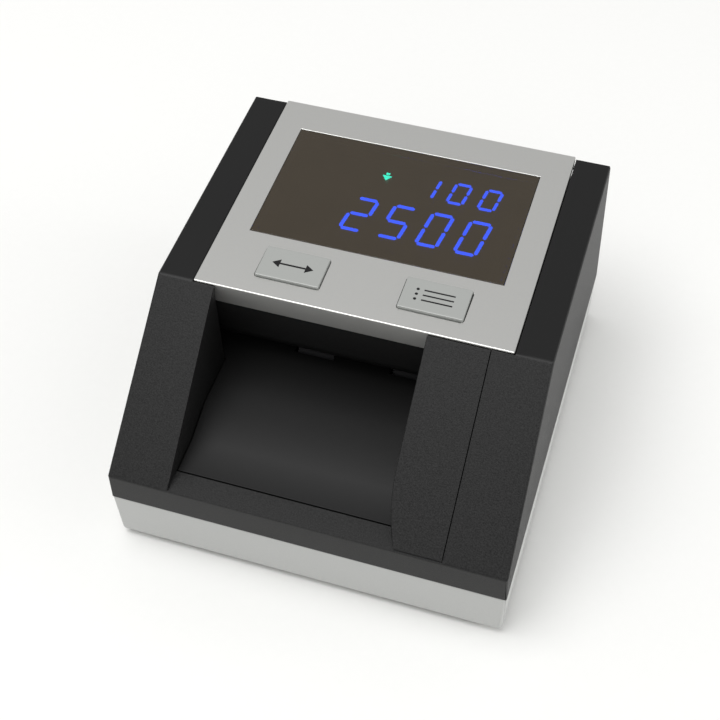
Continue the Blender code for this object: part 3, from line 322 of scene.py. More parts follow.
def smoked_cast_acrylic():
    """Cast acrylic tinted smoke brown: polished, it mirrors the room faintly and dims what lies behind."""
    return grained(
        "smoked_cast_acrylic", linear("3E362A"), 0.1, 9.0 * MM, 0.0005 * MM, 0.03, Alpha=0.8, IOR=1.49
    )


def clear_acrylic():
    """Clear acrylic of the sensor windows, with a faint grey body."""
    return grained("clear_acrylic", linear("6E6A6A"), 0.1, 6.0 * MM, 0.002 * MM, 0.04, Alpha=0.5, IOR=1.49)


def nitrile_rubber():
    """Moulded nitrile rubber: matt black with a dusty, uneven bloom."""
    return grained("nitrile_rubber", linear("1E1E1E"), 0.85, 0.6 * MM, 0.01 * MM, 0.15)


def ground_roller_rubber():
    """Ground urethane rubber of the feed rollers: dark grey and dry, with fine grinding marks round it."""
    return grained("ground_roller_rubber", linear("3C3C3E"), 0.8, 0.5 * MM, 0.012 * MM, 0.18, (3.0, 1.0, 1.0))


def turned_steel():
    """Bright turned steel: fine rings round the shaft stretch its highlights."""
    return grained(
        "turned_steel", linear("BEBEBC"), 0.28, 0.8 * MM, 0.003 * MM, 0.08, RINGS_ROUND_X, Metallic=1.0
    )


def zinc_plated_steel():
    """Zinc-plated pressed steel: a cool bright metal with a cloudy spangle."""
    return grained("zinc_plated_steel", linear("B0B2B4"), 0.38, 2.5 * MM, 0.003 * MM, 0.1, Metallic=1.0)


def turned_brass():
    """Turned brass of the bushes and pinion: warm yellow with ring marks."""
    return grained(
        "turned_brass", linear("C4A05C"), 0.32, 0.8 * MM, 0.003 * MM, 0.08, RINGS_ROUND_X, Metallic=1.0
    )


def moulded_acetal():
    """Moulded acetal of the gear and pulleys: waxy off-white."""
    return grained("moulded_acetal", linear("E2E0D8"), 0.42, 1.2 * MM, 0.004 * MM, 0.03, IOR=1.48)


def solder_masked_board():
    """Glass-epoxy board under green solder mask, with copper tracks that show as lighter bands."""
    return grained("solder_masked_board", linear("225834"), 0.4, 1.6 * MM, 0.01 * MM, 0.3, (1.0, 5.0, 1.0))


def black_epoxy():
    """Dark filled plastic of the readout body, switches and jack: near black with a soft sheen."""
    return grained("black_epoxy", linear("1C1C1F"), 0.46, 0.5 * MM, 0.004 * MM, 0.08)


def lit_segment(name, colour, glow):
    """A diffused LED behind its segment: light whose strength changes a little at random over the bars."""
    material, tree, shader = new_material(name, colour, 0.5)
    place = add_node(tree, "ShaderNodeTexCoord")
    noise = add_node(
        tree,
        "ShaderNodeTexNoise",
        inputs={"Scale": 1 / (2.2 * MM), "Detail": 1.0},
        links={"Vector": (place, "Object")},
    )
    tone = add_node(tree, "ShaderNodeValToRGB", links={"Fac": (noise, 0)})
    for stop, position, change in zip(tone.color_ramp.elements, (0.3, 0.7), (0.86, 1.0)):
        stop.position = position
        stop.color = (*(part * change for part in colour[:3]), 1.0)
    tree.links.new(tone.outputs["Color"], shader.inputs["Emission Color"])
    shader.inputs["Emission Strength"].default_value = glow
    return material


def legend_ink():
    """Pad-printed ink of the button marks: matt charcoal that sinks slightly into the paint."""
    return grained("legend_ink", linear("141415"), 0.6, 0.4 * MM, 0.002 * MM, 0.1, Specular_IOR_Level=0.25)


# Pieces


def set_pieces_finish(node, material):
    """Gives a CAD node that is kept its material."""
    for slot in frame["nodes"][node].material_slots:
        slot.material = material


def soften(mesh):
    """Gives each face corner the mean normal, by area, of the faces there that turn little from its own."""
    around = [[] for _ in mesh.vertices]
    for face in mesh.polygons:
        for vert in face.vertices:
            around[vert].append((face.normal.copy(), face.area))
    normals = []
    for face in mesh.polygons:
        for vert in face.vertices:
            near = [normal * area for normal, area in around[vert] if normal.dot(face.normal) > SOFT_TURN]
            normals.append(sum(near, Vector()).normalized() if near else face.normal)
    mesh.normals_split_custom_set(normals)


def add_piece(name, shape, materials, body, replaced=()):
    """Makes a softly shaded mesh of the shape, ties it to its body and hides the nodes it stands for."""
    mesh = bpy.data.meshes.new(name)
    shape.normal_update()
    shape.to_mesh(mesh)
    shape.free()
    for material in materials:
        mesh.materials.append(material)
    mesh.shade_smooth()
    soften(mesh)
    piece = bpy.data.objects.new(name, mesh)
    bpy.context.scene.collection.objects.link(piece)
    if replaced:
        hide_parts(*replaced)
    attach(piece, body)
    return piece


def merged(node):
    """The node's loose triangles as one closed shape whose flat faces are whole."""
    shape = bmesh.new()
    shape.from_mesh(frame["nodes"][node].data)
    bmesh.ops.remove_doubles(shape, verts=shape.verts, dist=WELD)
    bmesh.ops.dissolve_limit(shape, angle_limit=FLAT_ANGLE, verts=shape.verts, edges=shape.edges)
    shape.normal_update()
    return shape


def is_rounded(edge, width):
    """True for a long outer edge whose neighbours leave room for the rounding."""
    if not edge.is_manifold or edge.calc_length() < SHORTEST_ROUNDED:
        return False
    if edge.calc_face_angle_signed(0.0) < ROUNDED_ANGLE:
        return False
    neighbours = {other for vert in edge.verts for other in vert.link_edges} - {edge}
    return min(other.calc_length() for other in neighbours) > ROUND_ROOM * width


def finished_copy(node, materials, width, segments=3, face_index=None):
    """A merged copy of a CAD node with its long outer edges rounded over."""
    shape = merged(node)
    edges = [edge for edge in shape.edges if width and is_rounded(edge, width)]
    if edges:
        bmesh.ops.bevel(
            shape,
            geom=edges,
            offset=width,
            segments=segments,
            profile=0.5,
            affect="EDGES",
            clamp_overlap=False,
        )
    for face in shape.faces:
        face.material_index = face_index(face) if face_index else 0
    return add_piece(f"finished_{node}", shape, materials, BODY_OF[node], [node])


def grown_mesh(name, tree, points, values):
    """Runs a Geometry Nodes tree over some points and returns the result as a bmesh."""
    mesh = bpy.data.meshes.new(name)
    mesh.from_pydata([point["place"] for point in points], [], [])
    for key in ("turn", "reach"):
        layer = mesh.attributes.new(key, "FLOAT", "POINT")
        for index, point in enumerate(points):
            layer.data[index].value = point.get(key, 0.0)
    holder = bpy.data.objects.new(name, mesh)
    bpy.context.scene.collection.objects.link(holder)
    modifier = holder.modifiers.new(name, "NODES")
    modifier.node_group = tree
    for item in tree.interface.items_tree:
        if item.in_out == "INPUT" and item.name in values:
            modifier[item.identifier] = values[item.name]
    graph = bpy.context.evaluated_depsgraph_get()
    grown = bpy.data.meshes.new_from_object(holder.evaluated_get(graph), depsgraph=graph)
    shape = bmesh.new()
    shape.from_mesh(grown)
    bpy.data.objects.remove(holder)
    return shape


def start_tree(name, lengths, numbers=()):
    """A Geometry Nodes tree that takes points, named sizes and a material, with its input node."""
    tree = bpy.data.node_groups.new(name, "GeometryNodeTree")
    tree.interface.new_socket(name="Geometry", in_out="OUTPUT", socket_type="NodeSocketGeometry")
    tree.interface.new_socket(name="Points", in_out="INPUT", socket_type="NodeSocketGeometry")
    for label in lengths:
        socket = tree.interface.new_socket(name=label, in_out="INPUT", socket_type="NodeSocketFloat")
        socket.subtype = "DISTANCE"
    for label in numbers:
        tree.interface.new_socket(name=label, in_out="INPUT", socket_type="NodeSocketInt")
    tree.interface.new_socket(name="Material", in_out="INPUT", socket_type="NodeSocketMaterial")
    return tree, add_node(tree, "NodeGroupInput")


def end_tree(tree, sizes, instance, turned=None, scaled=None):
    """Puts the instance on every input point, realises the copies and gives them the material."""
    links = {"Points": (sizes, "Points"), "Instance": instance}
    if turned:
        links["Rotation"] = turned
    if scaled:
        links["Scale"] = scaled
    copies = add_node(tree, "GeometryNodeInstanceOnPoints", links=links)
    solid = add_node(tree, "GeometryNodeRealizeInstances", links={"Geometry": (copies, 0)})
    finished = add_node(
        tree, "GeometryNodeSetMaterial", links={"Geometry": (solid, 0), "Material": (sizes, "Material")}
    )
    add_node(tree, "NodeGroupOutput", links={"Geometry": (finished, 0)})
    return tree


def calculate(tree, operation, first, second):
    """A maths node; each operand is a number or a (node, output) pair."""
    node = add_node(tree, "ShaderNodeMath", {"operation": operation})
    for index, operand in enumerate((first, second)):
        if isinstance(operand, tuple):
            tree.links.new(operand[0].outputs[operand[1]], node.inputs[index])
        else:
            node.inputs[index].default_value = operand
    return node, 0


def segment_tree():
    """Bars with pointed ends: six-sided prisms whose side corners are pulled back by half the width."""
    tree, sizes = start_tree("lit_segments", ("Bar length", "Bar width", "Bar thickness"))
    prism = add_node(
        tree,
        "GeometryNodeMeshCylinder",
        inputs={"Vertices": 6, "Radius": 1.0},
        links={"Depth": (sizes, "Bar thickness")},
    )
    corner = add_node(tree, "GeometryNodeInputPosition")
    parts = add_node(tree, "ShaderNodeSeparateXYZ", links={"Vector": (corner, 0)})
    half_width = calculate(tree, "MULTIPLY", (sizes, "Bar width"), 0.5)
    half_length = calculate(tree, "MULTIPLY", (sizes, "Bar length"), 0.5)
    off_axis = calculate(tree, "DIVIDE", (parts, "Y"), math.sin(math.radians(60)))
    across = calculate(tree, "MULTIPLY", off_axis, half_width)
    pulled_back = calculate(tree, "SUBTRACT", half_length, calculate(tree, "ABSOLUTE", across, 0.0))
    along = calculate(tree, "MULTIPLY", pulled_back, calculate(tree, "SIGN", (parts, "X"), 0.0))
    target = add_node(
        tree, "ShaderNodeCombineXYZ", links={"X": along, "Y": across, "Z": (parts, "Z")}
    )
    bar = add_node(
        tree, "GeometryNodeSetPosition", links={"Geometry": (prism, "Mesh"), "Position": (target, 0)}
    )
    turn = add_node(tree, "GeometryNodeInputNamedAttribute", {"data_type": "FLOAT"}, {"Name": "turn"})
    reach = add_node(tree, "GeometryNodeInputNamedAttribute", {"data_type": "FLOAT"}, {"Name": "reach"})
    spin = add_node(tree, "ShaderNodeCombineXYZ", links={"Z": (turn, "Attribute")})
    share = calculate(tree, "DIVIDE", (reach, "Attribute"), (sizes, "Bar length"))
    stretch = add_node(tree, "ShaderNodeCombineXYZ", inputs={"Y": 1.0, "Z": 1.0}, links={"X": share})
    return end_tree(tree, sizes, (bar, 0), (spin, 0), (stretch, 0))


def screw_tree():
    """Pan-headed screws, head down, with a cross recess cut in the head."""
    screw_lengths = ("Head radius", "Head height", "Shank radius", "Length")
    recess_lengths = ("Recess half", "Recess width", "Recess depth")
    tree, sizes = start_tree("cross_head_screws", screw_lengths + recess_lengths)
    head = add_node(
        tree,
        "GeometryNodeMeshCylinder",
        inputs={"Vertices": 40},
        links={"Radius": (sizes, "Head radius"), "Depth": (sizes, "Head height")},
    )
    head_rise = calculate(tree, "MULTIPLY", (sizes, "Head height"), 0.5)
    lift = add_node(tree, "ShaderNodeCombineXYZ", links={"Z": head_rise})
    head = add_node(
        tree, "GeometryNodeTransform", links={"Geometry": (head, "Mesh"), "Translation": (lift, 0)}
    )
    shank = add_node(
        tree,
        "GeometryNodeMeshCylinder",
        inputs={"Vertices": 28},
        links={"Radius": (sizes, "Shank radius"), "Depth": (sizes, "Length")},
    )
    half_shank = calculate(tree, "MULTIPLY", (sizes, "Length"), 0.49)
    shank_rise = calculate(tree, "ADD", (sizes, "Head height"), half_shank)
    lift = add_node(tree, "ShaderNodeCombineXYZ", links={"Z": shank_rise})
    shank = add_node(
        tree, "GeometryNodeTransform", links={"Geometry": (shank, "Mesh"), "Translation": (lift, 0)}
    )
    depth = calculate(tree, "MULTIPLY", (sizes, "Recess depth"), 2.0)
    length = calculate(tree, "MULTIPLY", (sizes, "Recess half"), 2.0)
    arms = []
    for x, y in ((length, (sizes, "Recess width")), ((sizes, "Recess width"), length)):
        size = add_node(tree, "ShaderNodeCombineXYZ", links={"X": x, "Y": y, "Z": depth})
        arms.append(add_node(tree, "GeometryNodeMeshCube", links={"Size": (size, 0)}))
    recessed = add_node(
        tree, "GeometryNodeMeshBoolean", {"operation": "DIFFERENCE"}, links={"Mesh 1": (head, 0)}
    )
    for arm in arms:
        tree.links.new(arm.outputs["Mesh"], recessed.inputs["Mesh 2"])
    screw = add_node(tree, "GeometryNodeJoinGeometry")
    for part in (shank, recessed):
        tree.links.new(part.outputs[0], screw.inputs[0])
    return end_tree(tree, sizes, (screw, 0))


def roller_tree():
    """Ribbed rollers: a core along X with bars set round it."""
    tree, sizes = start_tree("ribbed_rollers", ("Radius", "Width", "Rib height", "Rib width"), ("Ribs",))
    core_radius = calculate(tree, "SUBTRACT", (sizes, "Radius"), (sizes, "Rib height"))
    core = add_node(
        tree,
        "GeometryNodeMeshCylinder",
        inputs={"Vertices": 72},
        links={"Radius": core_radius, "Depth": (sizes, "Width")},
    )
    rib_depth = calculate(tree, "MULTIPLY", (sizes, "Rib height"), 2.0)
    rib_size = add_node(
        tree, "ShaderNodeCombineXYZ", links={"X": rib_depth, "Y": (sizes, "Rib width"), "Z": (sizes, "Width")}
    )
    rib = add_node(tree, "GeometryNodeMeshCube", links={"Size": (rib_size, 0)})
    ring = add_node(
        tree, "GeometryNodeMeshCircle", links={"Vertices": (sizes, "Ribs"), "Radius": core_radius}
    )
    index = add_node(tree, "GeometryNodeInputIndex")
    step = calculate(tree, "DIVIDE", 2 * math.pi, (sizes, "Ribs"))
    angle = calculate(tree, "MULTIPLY", (index, 0), step)
    spin = add_node(tree, "ShaderNodeCombineXYZ", links={"Z": angle})
    ribs = add_node(
        tree,
        "GeometryNodeInstanceOnPoints",
        links={"Points": (ring, "Mesh"), "Instance": (rib, "Mesh"), "Rotation": (spin, 0)},
    )
    roller = add_node(tree, "GeometryNodeJoinGeometry")
    for part in (ribs, core):
        tree.links.new(part.outputs[0], roller.inputs[0])
    laid = add_node(
        tree,
        "GeometryNodeTransform",
        inputs={"Rotation": (0.0, math.pi / 2, 0.0)},
        links={"Geometry": (roller, 0)},
    )
    return end_tree(tree, sizes, (laid, 0))


# The seven segments, by name: place in half widths and half heights, and whether the bar stands up
SEGMENTS = {
    "a": (0, 1.0, False),
    "b": (1, 0.5, True),
    "c": (1, -0.5, True),
    "d": (0, -1.0, False),
    "e": (-1, -0.5, True),
    "f": (-1, 0.5, True),
    "g": (0, 0.0, False),
}
LIT = {
    "0": "abcdef",
    "1": "bc",
    "2": "abdeg",
    "3": "abcdg",
    "4": "bcfg",
    "5": "acdfg",
    "6": "acdefg",
    "7": "abc",
    "8": "abcdefg",
    "9": "abcdfg",
}
SEGMENT_GAP = 0.6 * MM
LEAN = 0.14
LIT_THICKNESS = 0.2 * MM
ABOVE_READOUT = 0.16 * MM

# Each row: the bars' width, a character's width, the pitch, and the first character's place across and
# up from the window's front edge
UPPER_ROW = {"bar": 0.98 * MM, "width": 5.0 * MM, "pitch": 10.25 * MM, "first": 6.9 * MM, "rise": 37.5 * MM}
LOWER_ROW = {"bar": 1.15 * MM, "width": 6.6 * MM, "pitch": 12.5 * MM, "first": -11.2 * MM, "rise": 19.6 * MM}
ARROW_ACROSS = -7.6 * MM
ARROW_RISE = 39.1 * MM


def character_bars(character, centre, half_width, half_height):
    """A point for each lit bar, with its turn and its length."""
    bars = []
    for name in LIT.get(character, ""):
        across, up, upright = SEGMENTS[name]
        y = up * half_height
        place = (centre[0] + across * half_width + LEAN * y, centre[1] + y, centre[2])
        length = (half_height if upright else 2 * half_width) - SEGMENT_GAP
        bars.append({"place": place, "turn": math.atan2(1.0, LEAN) if upright else 0.0, "reach": length})
    return bars


class DETECTOR_OT_case(bpy.types.Operator):
    """Base tray, upper housing and feet"""

    bl_idname = "detector.case"
    bl_label = "Case"

    def execute(self, context):
        case = context.scene.detector_case
        # The second material is the darker black that carries the painted shade of the top strips
        black, fine = spark_eroded_black_abs(case), fine_black_abs_painted_shade(case)
        finished_copy("base_tray", [satin_grey_abs(case)], case.edge_round)
        top = high_of("upper_housing").z - TOP_REACH

        # The level top strips take the darker black, a painted shade
        def painted_shade_strip(face):
            return int(face.normal.z > 0.9 and face.calc_center_median().z > top)

        finished_copy("upper_housing", [black, fine], case.edge_round, face_index=painted_shade_strip)
        rubber = nitrile_rubber()
        for corner in ("front_left", "front_right", "rear_left", "rear_right"):
            add_foot(f"foot_{corner}", rubber)
        return {"FINISHED"}


FOOT_SIDES = 48
FOOT_ROLL = 0.8 * MM
FOOT_ROLL_STEPS = 6
FOOT_DISH = 0.3 * MM
FOOT_RIM = 1.6 * MM
FOOT_SLANT = 0.6 * MM


def add_foot(node, rubber):
    """A round foot with a rolled lower edge and a shallow dish underneath."""
    low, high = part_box(node)
    radius, height = (high.x - low.x) / 2, high.z - low.z
    rim = radius - FOOT_RIM
    centre = radius - FOOT_ROLL
    profile = [(0.0, FOOT_DISH), (rim - FOOT_SLANT, FOOT_DISH), (rim, 0.0), (centre, 0.0)]
    for step in range(1, FOOT_ROLL_STEPS + 1):
        angle = math.pi / 2 * step / FOOT_ROLL_STEPS
        profile.append((centre + FOOT_ROLL * math.sin(angle), FOOT_ROLL - FOOT_ROLL * math.cos(angle)))
    profile += [(radius, height), (0.0, height)]
    shape = bmesh.new()
    verts = [shape.verts.new((radius, 0.0, along)) for radius, along in profile]
    edges = [shape.edges.new(pair) for pair in zip(verts, verts[1:])]
    bmesh.ops.spin(
        shape,
        geom=verts + edges,
        cent=(0, 0, 0),
        axis=(0, 0, 1),
        angle=2 * math.pi,
        steps=FOOT_SIDES,
        use_merge=True,
    )
    bmesh.ops.remove_doubles(shape, verts=shape.verts, dist=WELD)
    bmesh.ops.recalc_face_normals(shape, faces=shape.faces)
    place = Vector((*centre_of(node)[:2], low.z))
    bmesh.ops.transform(shape, matrix=Matrix.Translation(place), verts=shape.verts)
    add_piece(f"turned_{node}", shape, [rubber], BODY_OF[node], [node])


class DETECTOR_OT_bill_path(bpy.types.Operator):
    """Table that the note slides over, its guide, and the sensor windows in it"""

    bl_idname = "detector.bill_path"
    bl_label = "Bill path"

    def execute(self, context):
        case = context.scene.detector_case
        black = spark_eroded_black_abs(case)
        finished_copy("bill_table", [fine_black_abs_painted_shade(case)], FINE_ROUND, 2)
        finished_copy("bill_guide", [black], case.edge_round)
        clear = clear_acrylic()
        for node in ("lower_sensor_window", "upper_sensor_window"):
            finished_copy(node, [clear], CRISP_ROUND, 2)
        finished_copy("magnetic_head", [turned_steel()], FINE_ROUND, 2)
        return {"FINISHED"}


class DETECTOR_OT_hatch(bpy.types.Operator):
    """Face panel, hatch frame and smoked window"""

    bl_idname = "detector.hatch"
    bl_label = "Hatch"

    PANEL_ROUND = 0.22 * MM
    WINDOW_ROUND = 0.18 * MM

    def execute(self, context):
        case = context.scene.detector_case
        finished_copy("face_panel", [silver_painted_abs(case)], self.PANEL_ROUND)
        finished_copy("hatch_frame", [fine_black_abs_painted_shade(case)], FINE_ROUND, 2)
        finished_copy("display_window", [smoked_cast_acrylic()], self.WINDOW_ROUND, 2)
        return {"FINISHED"}


class DETECTOR_OT_readout(bpy.types.Operator):
    """Lit seven-segment rows and the feed arrow on the readout"""

    bl_idname = "detector.readout"
    bl_label = "Readout"

    def execute(self, context):
        readout = context.scene.detector_readout
        body = BODY_OF["readout"]
        finished_copy("readout", [black_epoxy()], 0.3 * MM, 2)
        level = high_of("readout").z + ABOVE_READOUT
        front = low_of("display_window").y
        blue = lit_segment("lit_blue_segment", readout.blue, readout.glow)
        tree = segment_tree()
        rows = (
            (readout.upper_text, readout.upper_height, UPPER_ROW),
            (readout.lower_text, readout.lower_height, LOWER_ROW),
        )
        for row, (text, height, plan) in enumerate(rows):
            bars = []
            for index, character in enumerate(text):
                centre = (plan["first"] + index * plan["pitch"], front + plan["rise"], level)
                bars += character_bars(character, centre, plan["width"] / 2, (height - plan["bar"]) / 2)
            sizes = {
                "Bar length": height / 2,
                "Bar width": plan["bar"],
                "Bar thickness": LIT_THICKNESS,
                "Material": blue,
            }
            shape = grown_mesh(f"segments_{row}", tree, bars, sizes)
            add_piece(f"lit_row_{row}", shape, [blue], body)
        green = lit_segment("lit_green_arrow", readout.green, readout.glow)
        self.add_arrow((ARROW_ACROSS, front + ARROW_RISE, level), green, body)
        return {"FINISHED"}

    def add_arrow(self, centre, green, body):
        """An arrowhead under its short stem, which says which way the note is fed."""
        shape = bmesh.new()
        half, drop, stem, gap, rise = 1.55 * MM, 2.1 * MM, 0.6 * MM, 0.5 * MM, 0.8 * MM
        head = [(-half, 0.0), (0.0, -drop), (half, 0.0)]
        shaft = [(-stem, gap), (stem, gap), (stem, gap + rise), (-stem, gap + rise)]
        for outline in (head, shaft):
            extrude_outline(shape, outline, centre, LIT_THICKNESS)
        add_piece("feed_arrow", shape, [green], body)


def extrude_outline(shape, outline, centre, thickness):
    """Adds a closed plate of this outline, its underside at the centre's height."""
    rings = []
    for rise in (0.0, thickness):
        rings.append([shape.verts.new((centre[0] + x, centre[1] + y, centre[2] + rise)) for x, y in outline])
    faces = [shape.faces.new(rings[0]), shape.faces.new(rings[1])]
    count = len(outline)
    for at in range(count):
        after = (at + 1) % count
        faces.append(shape.faces.new((rings[0][at], rings[0][after], rings[1][after], rings[1][at])))
    bmesh.ops.recalc_face_normals(shape, faces=faces)


class DETECTOR_OT_buttons(bpy.types.Operator):
    """The two buttons, their shallow dish and their printed marks"""

    bl_idname = "detector.buttons"
    bl_label = "Buttons"

    DISH_BORDER = 0.9 * MM
    DISH_DEPTH = 0.07 * MM
    INK = 0.04 * MM

    def execute(self, context):
        paint = silver_painted_button(context.scene.detector_case)
        ink = legend_ink()
        marks = {"clear_button": self.direction_mark(), "report_button": self.list_mark()}
        for node, outlines in marks.items():
            self.add_button(node, paint)
            self.add_mark(node, outlines, ink)
        epoxy = black_epoxy()
        for side in ("left", "right"):
            set_pieces_finish(f"tact_switch_{side}", epoxy)
        return {"FINISHED"}

    def add_button(self, node, paint):
        shape = merged(node)
        top = max(shape.faces, key=lambda face: face.calc_center_median().z)
        bmesh.ops.inset_region(shape, faces=[top], thickness=self.DISH_BORDER, depth=-self.DISH_DEPTH)
        for face in shape.faces:
            face.material_index = 0
        add_piece(f"finished_{node}", shape, [paint], BODY_OF[node], [node])

    def add_mark(self, node, outlines, ink):
        shape = bmesh.new()
        middle = centre_of(node)
        level = high_of(node).z - self.DISH_DEPTH - self.INK / 4
        for outline in outlines:
            extrude_outline(shape, outline, (middle.x, middle.y, level), self.INK)
        add_piece(f"{node}_mark", shape, [ink], BODY_OF[node])

    def direction_mark(self):
        """A bar across with an arrowhead at each end."""
        bar, reach, head, wide = 0.32 * MM, 6.6 * MM, 2.5 * MM, 1.65 * MM
        half = reach - head
        outlines = [[(-half, -bar), (half, -bar), (half, bar), (-half, bar)]]
        for sign in (-1, 1):
            outlines.append([(sign * half, -wide), (sign * reach, 0.0), (sign * half, wide)])
        return outlines

    def list_mark(self):
        """Three short lines, each with a dot before it."""
        line, reach, pitch, dot = 0.27 * MM, 5.8 * MM, 2.0 * MM, 0.5 * MM
        outlines = []
        for row in (-1, 0, 1):
            y = row * pitch
            start = 4 * dot - reach
            outlines.append([(start, y - line), (reach, y - line), (reach, y + line), (start, y + line)])
            corners = [math.pi / 6 * step for step in range(12)]
            outlines.append([(dot * math.cos(a) - reach, y + dot * math.sin(a)) for a in corners])
        return outlines


class DETECTOR_OT_drive(bpy.types.Operator):
    """Ribbed rollers, shafts, bushes, gears, belt, motor and idlers"""

    bl_idname = "detector.drive"
    bl_label = "Note drive"

    RIB_WIDTH = 0.9 * MM

    def execute(self, context):
        drive = context.scene.detector_drive
        rubber = ground_roller_rubber()
        tree = roller_tree()
        for group in ("feed_roller", "exit_roller", "feed_idler_roller", "exit_idler_roller"):
            nodes = [f"{group}_{side}" for side in ("left", "right")]
            low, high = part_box(nodes[0])
            points = [{"place": centre_of(node)} for node in nodes]
            sizes = {
                "Radius": (high.z - low.z) / 2,
                "Width": high.x - low.x,
                "Rib height": drive.rib_height,
                "Rib width": self.RIB_WIDTH,
                "Ribs": drive.rib_count,
                "Material": rubber,
            }
            shape = grown_mesh(group, tree, points, sizes)
            add_piece(f"ribbed_{group}s", shape, [rubber], BODY_OF[nodes[0]], nodes)
        steel, brass, acetal, zinc = turned_steel(), turned_brass(), moulded_acetal(), zinc_plated_steel()
        finishes = {
            "feed_shaft": steel,
            "exit_shaft": steel,
            "feed_idler_axle": steel,
            "exit_idler_axle": steel,
            "feed_idler_spring": steel,
            "exit_idler_spring": steel,
            "hinge_pin_left": steel,
            "hinge_pin_right": steel,
            "drive_gear": acetal,
            "feed_pulley": acetal,
            "exit_pulley": acetal,
            "motor_pinion": brass,
            "feed_bush_left": brass,
            "feed_bush_right": brass,
            "exit_bush_left": brass,
            "exit_bush_right": brass,
            "feed_motor": zinc,
            "motor_bracket": zinc,
            "drive_belt": nitrile_rubber(),
        }
        for node, material in finishes.items():
            finished_copy(node, [material], 0.0)
        return {"FINISHED"}


class DETECTOR_OT_electrics(bpy.types.Operator):
    """Boards, power jack and power switch"""

    bl_idname = "detector.electrics"
    bl_label = "Electrics"

    def execute(self, context):
        case = context.scene.detector_case
        board = solder_masked_board()
        for node in ("main_board", "display_board", "lower_sensor_board", "upper_sensor_board"):
            set_pieces_finish(node, board)
        epoxy = black_epoxy()
        finished_copy("dc_jack", [epoxy], CRISP_ROUND, 2)
        finished_copy("switch_housing", [epoxy], CRISP_ROUND, 2)
        finished_copy("power_rocker", [fine_black_abs_painted_shade(case)], FINE_ROUND, 2)
        return {"FINISHED"}


class DETECTOR_OT_fasteners(bpy.types.Operator):
    """Case screws and board screws"""

    bl_idname = "detector.fasteners"
    bl_label = "Fasteners"

    CROSS_HALF = 1.6 * MM
    CROSS_WIDTH = 0.7 * MM
    CROSS_DEPTH = 1.0 * MM

    def execute(self, context):
        drive = context.scene.detector_drive
        zinc = zinc_plated_steel()
        corners = ("front_left", "front_right", "rear_left", "rear_right")
        nodes = [f"case_screw_{corner}" for corner in corners]
        low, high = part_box(nodes[0])
        points = [{"place": (*centre_of(node)[:2], low_of(node).z)} for node in nodes]
        sizes = {
            "Head radius": (high.x - low.x) / 2,
            "Head height": drive.head_height,
            "Shank radius": drive.shank_radius,
            "Length": high.z - low.z - drive.head_height,
            "Recess half": self.CROSS_HALF,
            "Recess width": self.CROSS_WIDTH,
            "Recess depth": self.CROSS_DEPTH,
            "Material": zinc,
        }
        shape = grown_mesh("case_screws", screw_tree(), points, sizes)
        add_piece("cross_head_case_screws", shape, [zinc], BODY_OF[nodes[0]], nodes)
        for side in ("left", "right"):
            finished_copy(f"board_screw_{side}", [zinc], 0.0)
        return {"FINISHED"}


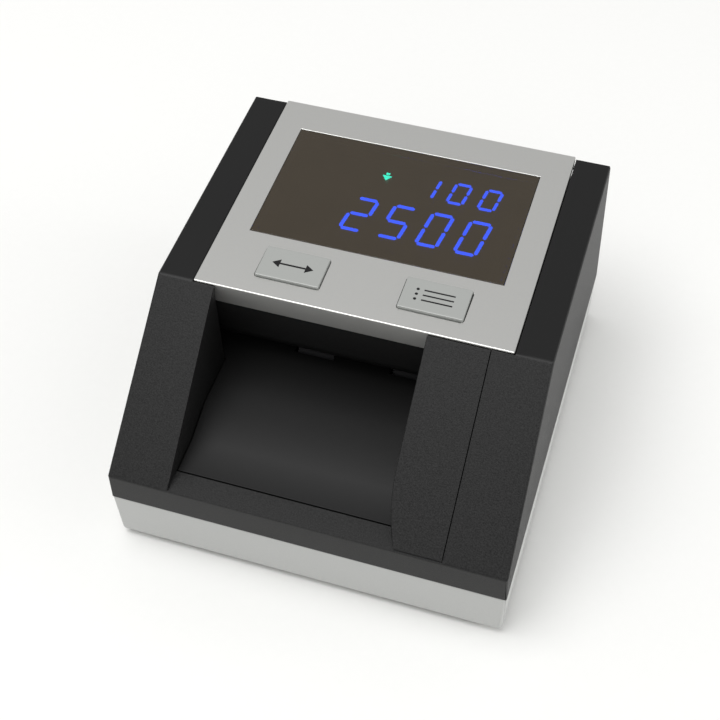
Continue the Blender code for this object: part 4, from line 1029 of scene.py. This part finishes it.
class DETECTOR_OT_stage(bpy.types.Operator):
    """Pale floor, soft studio light and the camera"""

    bl_idname = "detector.stage"
    bl_label = "Stage"

    FLOOR_HALF = 2.0
    KEY_PLACE = (-0.3, -0.2, 1.3)
    KEY_SIZE = 0.9
    FILL_PLACE = (1.0, 0.1, 0.2)
    FILL_SIZE = 0.5

    def execute(self, context):
        stage = context.scene.detector_stage
        self.add_camera(context, stage)
        self.add_floor(context)
        self.add_light(context, "key_soft_box", self.KEY_PLACE, self.KEY_SIZE, stage.key)
        self.add_light(context, "side_fill", self.FILL_PLACE, self.FILL_SIZE, stage.fill)
        context.scene.view_settings.view_transform = "Standard"
        world = bpy.data.worlds.new("white_room")
        world.use_nodes = True
        surroundings = world.node_tree.nodes["Background"]
        surroundings.inputs["Color"].default_value = (1.0, 1.0, 1.0, 1.0)
        surroundings.inputs["Strength"].default_value = stage.sky
        context.scene.world = world
        return {"FINISHED"}

    def add_camera(self, context, stage):
        sight = Vector(
            (
                -math.sin(stage.heading) * math.cos(stage.dip),
                math.cos(stage.heading) * math.cos(stage.dip),
                -math.sin(stage.dip),
            )
        )
        level = sight.cross(Vector((0.0, 0.0, 1.0))).normalized()
        upward = level.cross(sight)
        right = level * math.cos(stage.tilt) + upward * math.sin(stage.tilt)
        up = upward * math.cos(stage.tilt) - level * math.sin(stage.tilt)
        camera = bpy.data.objects.new("camera", bpy.data.cameras.new("camera"))
        context.scene.collection.objects.link(camera)
        turn = Matrix((right, up, -sight)).transposed().to_4x4()
        turn.translation = Vector(stage.place)
        camera.matrix_world = turn
        camera.data.lens = stage.lens
        camera.data.sensor_width = 36.0
        context.scene.camera = camera

    def add_floor(self, context):
        shape = bmesh.new()
        half = self.FLOOR_HALF
        corners = [(-half, -half, 0.0), (half, -half, 0.0), (half, half, 0.0), (-half, half, 0.0)]
        shape.faces.new([shape.verts.new(corner) for corner in corners])
        mesh = bpy.data.meshes.new("floor")
        shape.to_mesh(mesh)
        shape.free()
        # Matt white paper sweep: an even pale ground with almost no gloss.
        mesh.materials.append(grained("matt_paper", linear("F4F4F2"), 0.9, 3.0 * MM, 0.002 * MM, 0.004))
        floor = bpy.data.objects.new("floor", mesh)
        context.scene.collection.objects.link(floor)

    def add_light(self, context, name, place, size, power):
        lamp = bpy.data.lights.new(name, "AREA")
        lamp.size = size
        lamp.energy = power
        holder = bpy.data.objects.new(name, lamp)
        context.scene.collection.objects.link(holder)
        holder.location = place
        holder.rotation_euler = (-Vector(place)).to_track_quat("-Z", "Y").to_euler()


OPERATORS = (
    DETECTOR_OT_stage,
    DETECTOR_OT_case,
    DETECTOR_OT_bill_path,
    DETECTOR_OT_hatch,
    DETECTOR_OT_readout,
    DETECTOR_OT_buttons,
    DETECTOR_OT_drive,
    DETECTOR_OT_electrics,
    DETECTOR_OT_fasteners,
)


class DETECTOR_PT_pieces(bpy.types.Panel):
    """Lists the pieces that can be built and their settings"""

    bl_label = "Bill detector"
    bl_idname = "DETECTOR_PT_pieces"
    bl_space_type = "VIEW_3D"
    bl_region_type = "UI"
    bl_category = "Detector"

    def draw(self, context):
        for operator in OPERATORS:
            self.layout.operator(operator.bl_idname)
        for name, group in SETTINGS.items():
            box = self.layout.box()
            for field in group.__annotations__:
                box.prop(getattr(context.scene, name), field)


def register():
    for group in SETTINGS.values():
        bpy.utils.register_class(group)
    for name, group in SETTINGS.items():
        setattr(bpy.types.Scene, name, PointerProperty(type=group))
    for cls in (*OPERATORS, DETECTOR_PT_pieces):
        bpy.utils.register_class(cls)


def unregister():
    for cls in (DETECTOR_PT_pieces, *reversed(OPERATORS)):
        bpy.utils.unregister_class(cls)
    for name, group in SETTINGS.items():
        delattr(bpy.types.Scene, name)
        bpy.utils.unregister_class(group)


def main():
    register()
    for operator in OPERATORS:
        family, name = operator.bl_idname.split(".")
        getattr(getattr(bpy.ops, family), name)()


if __name__ == "__main__":
    main()
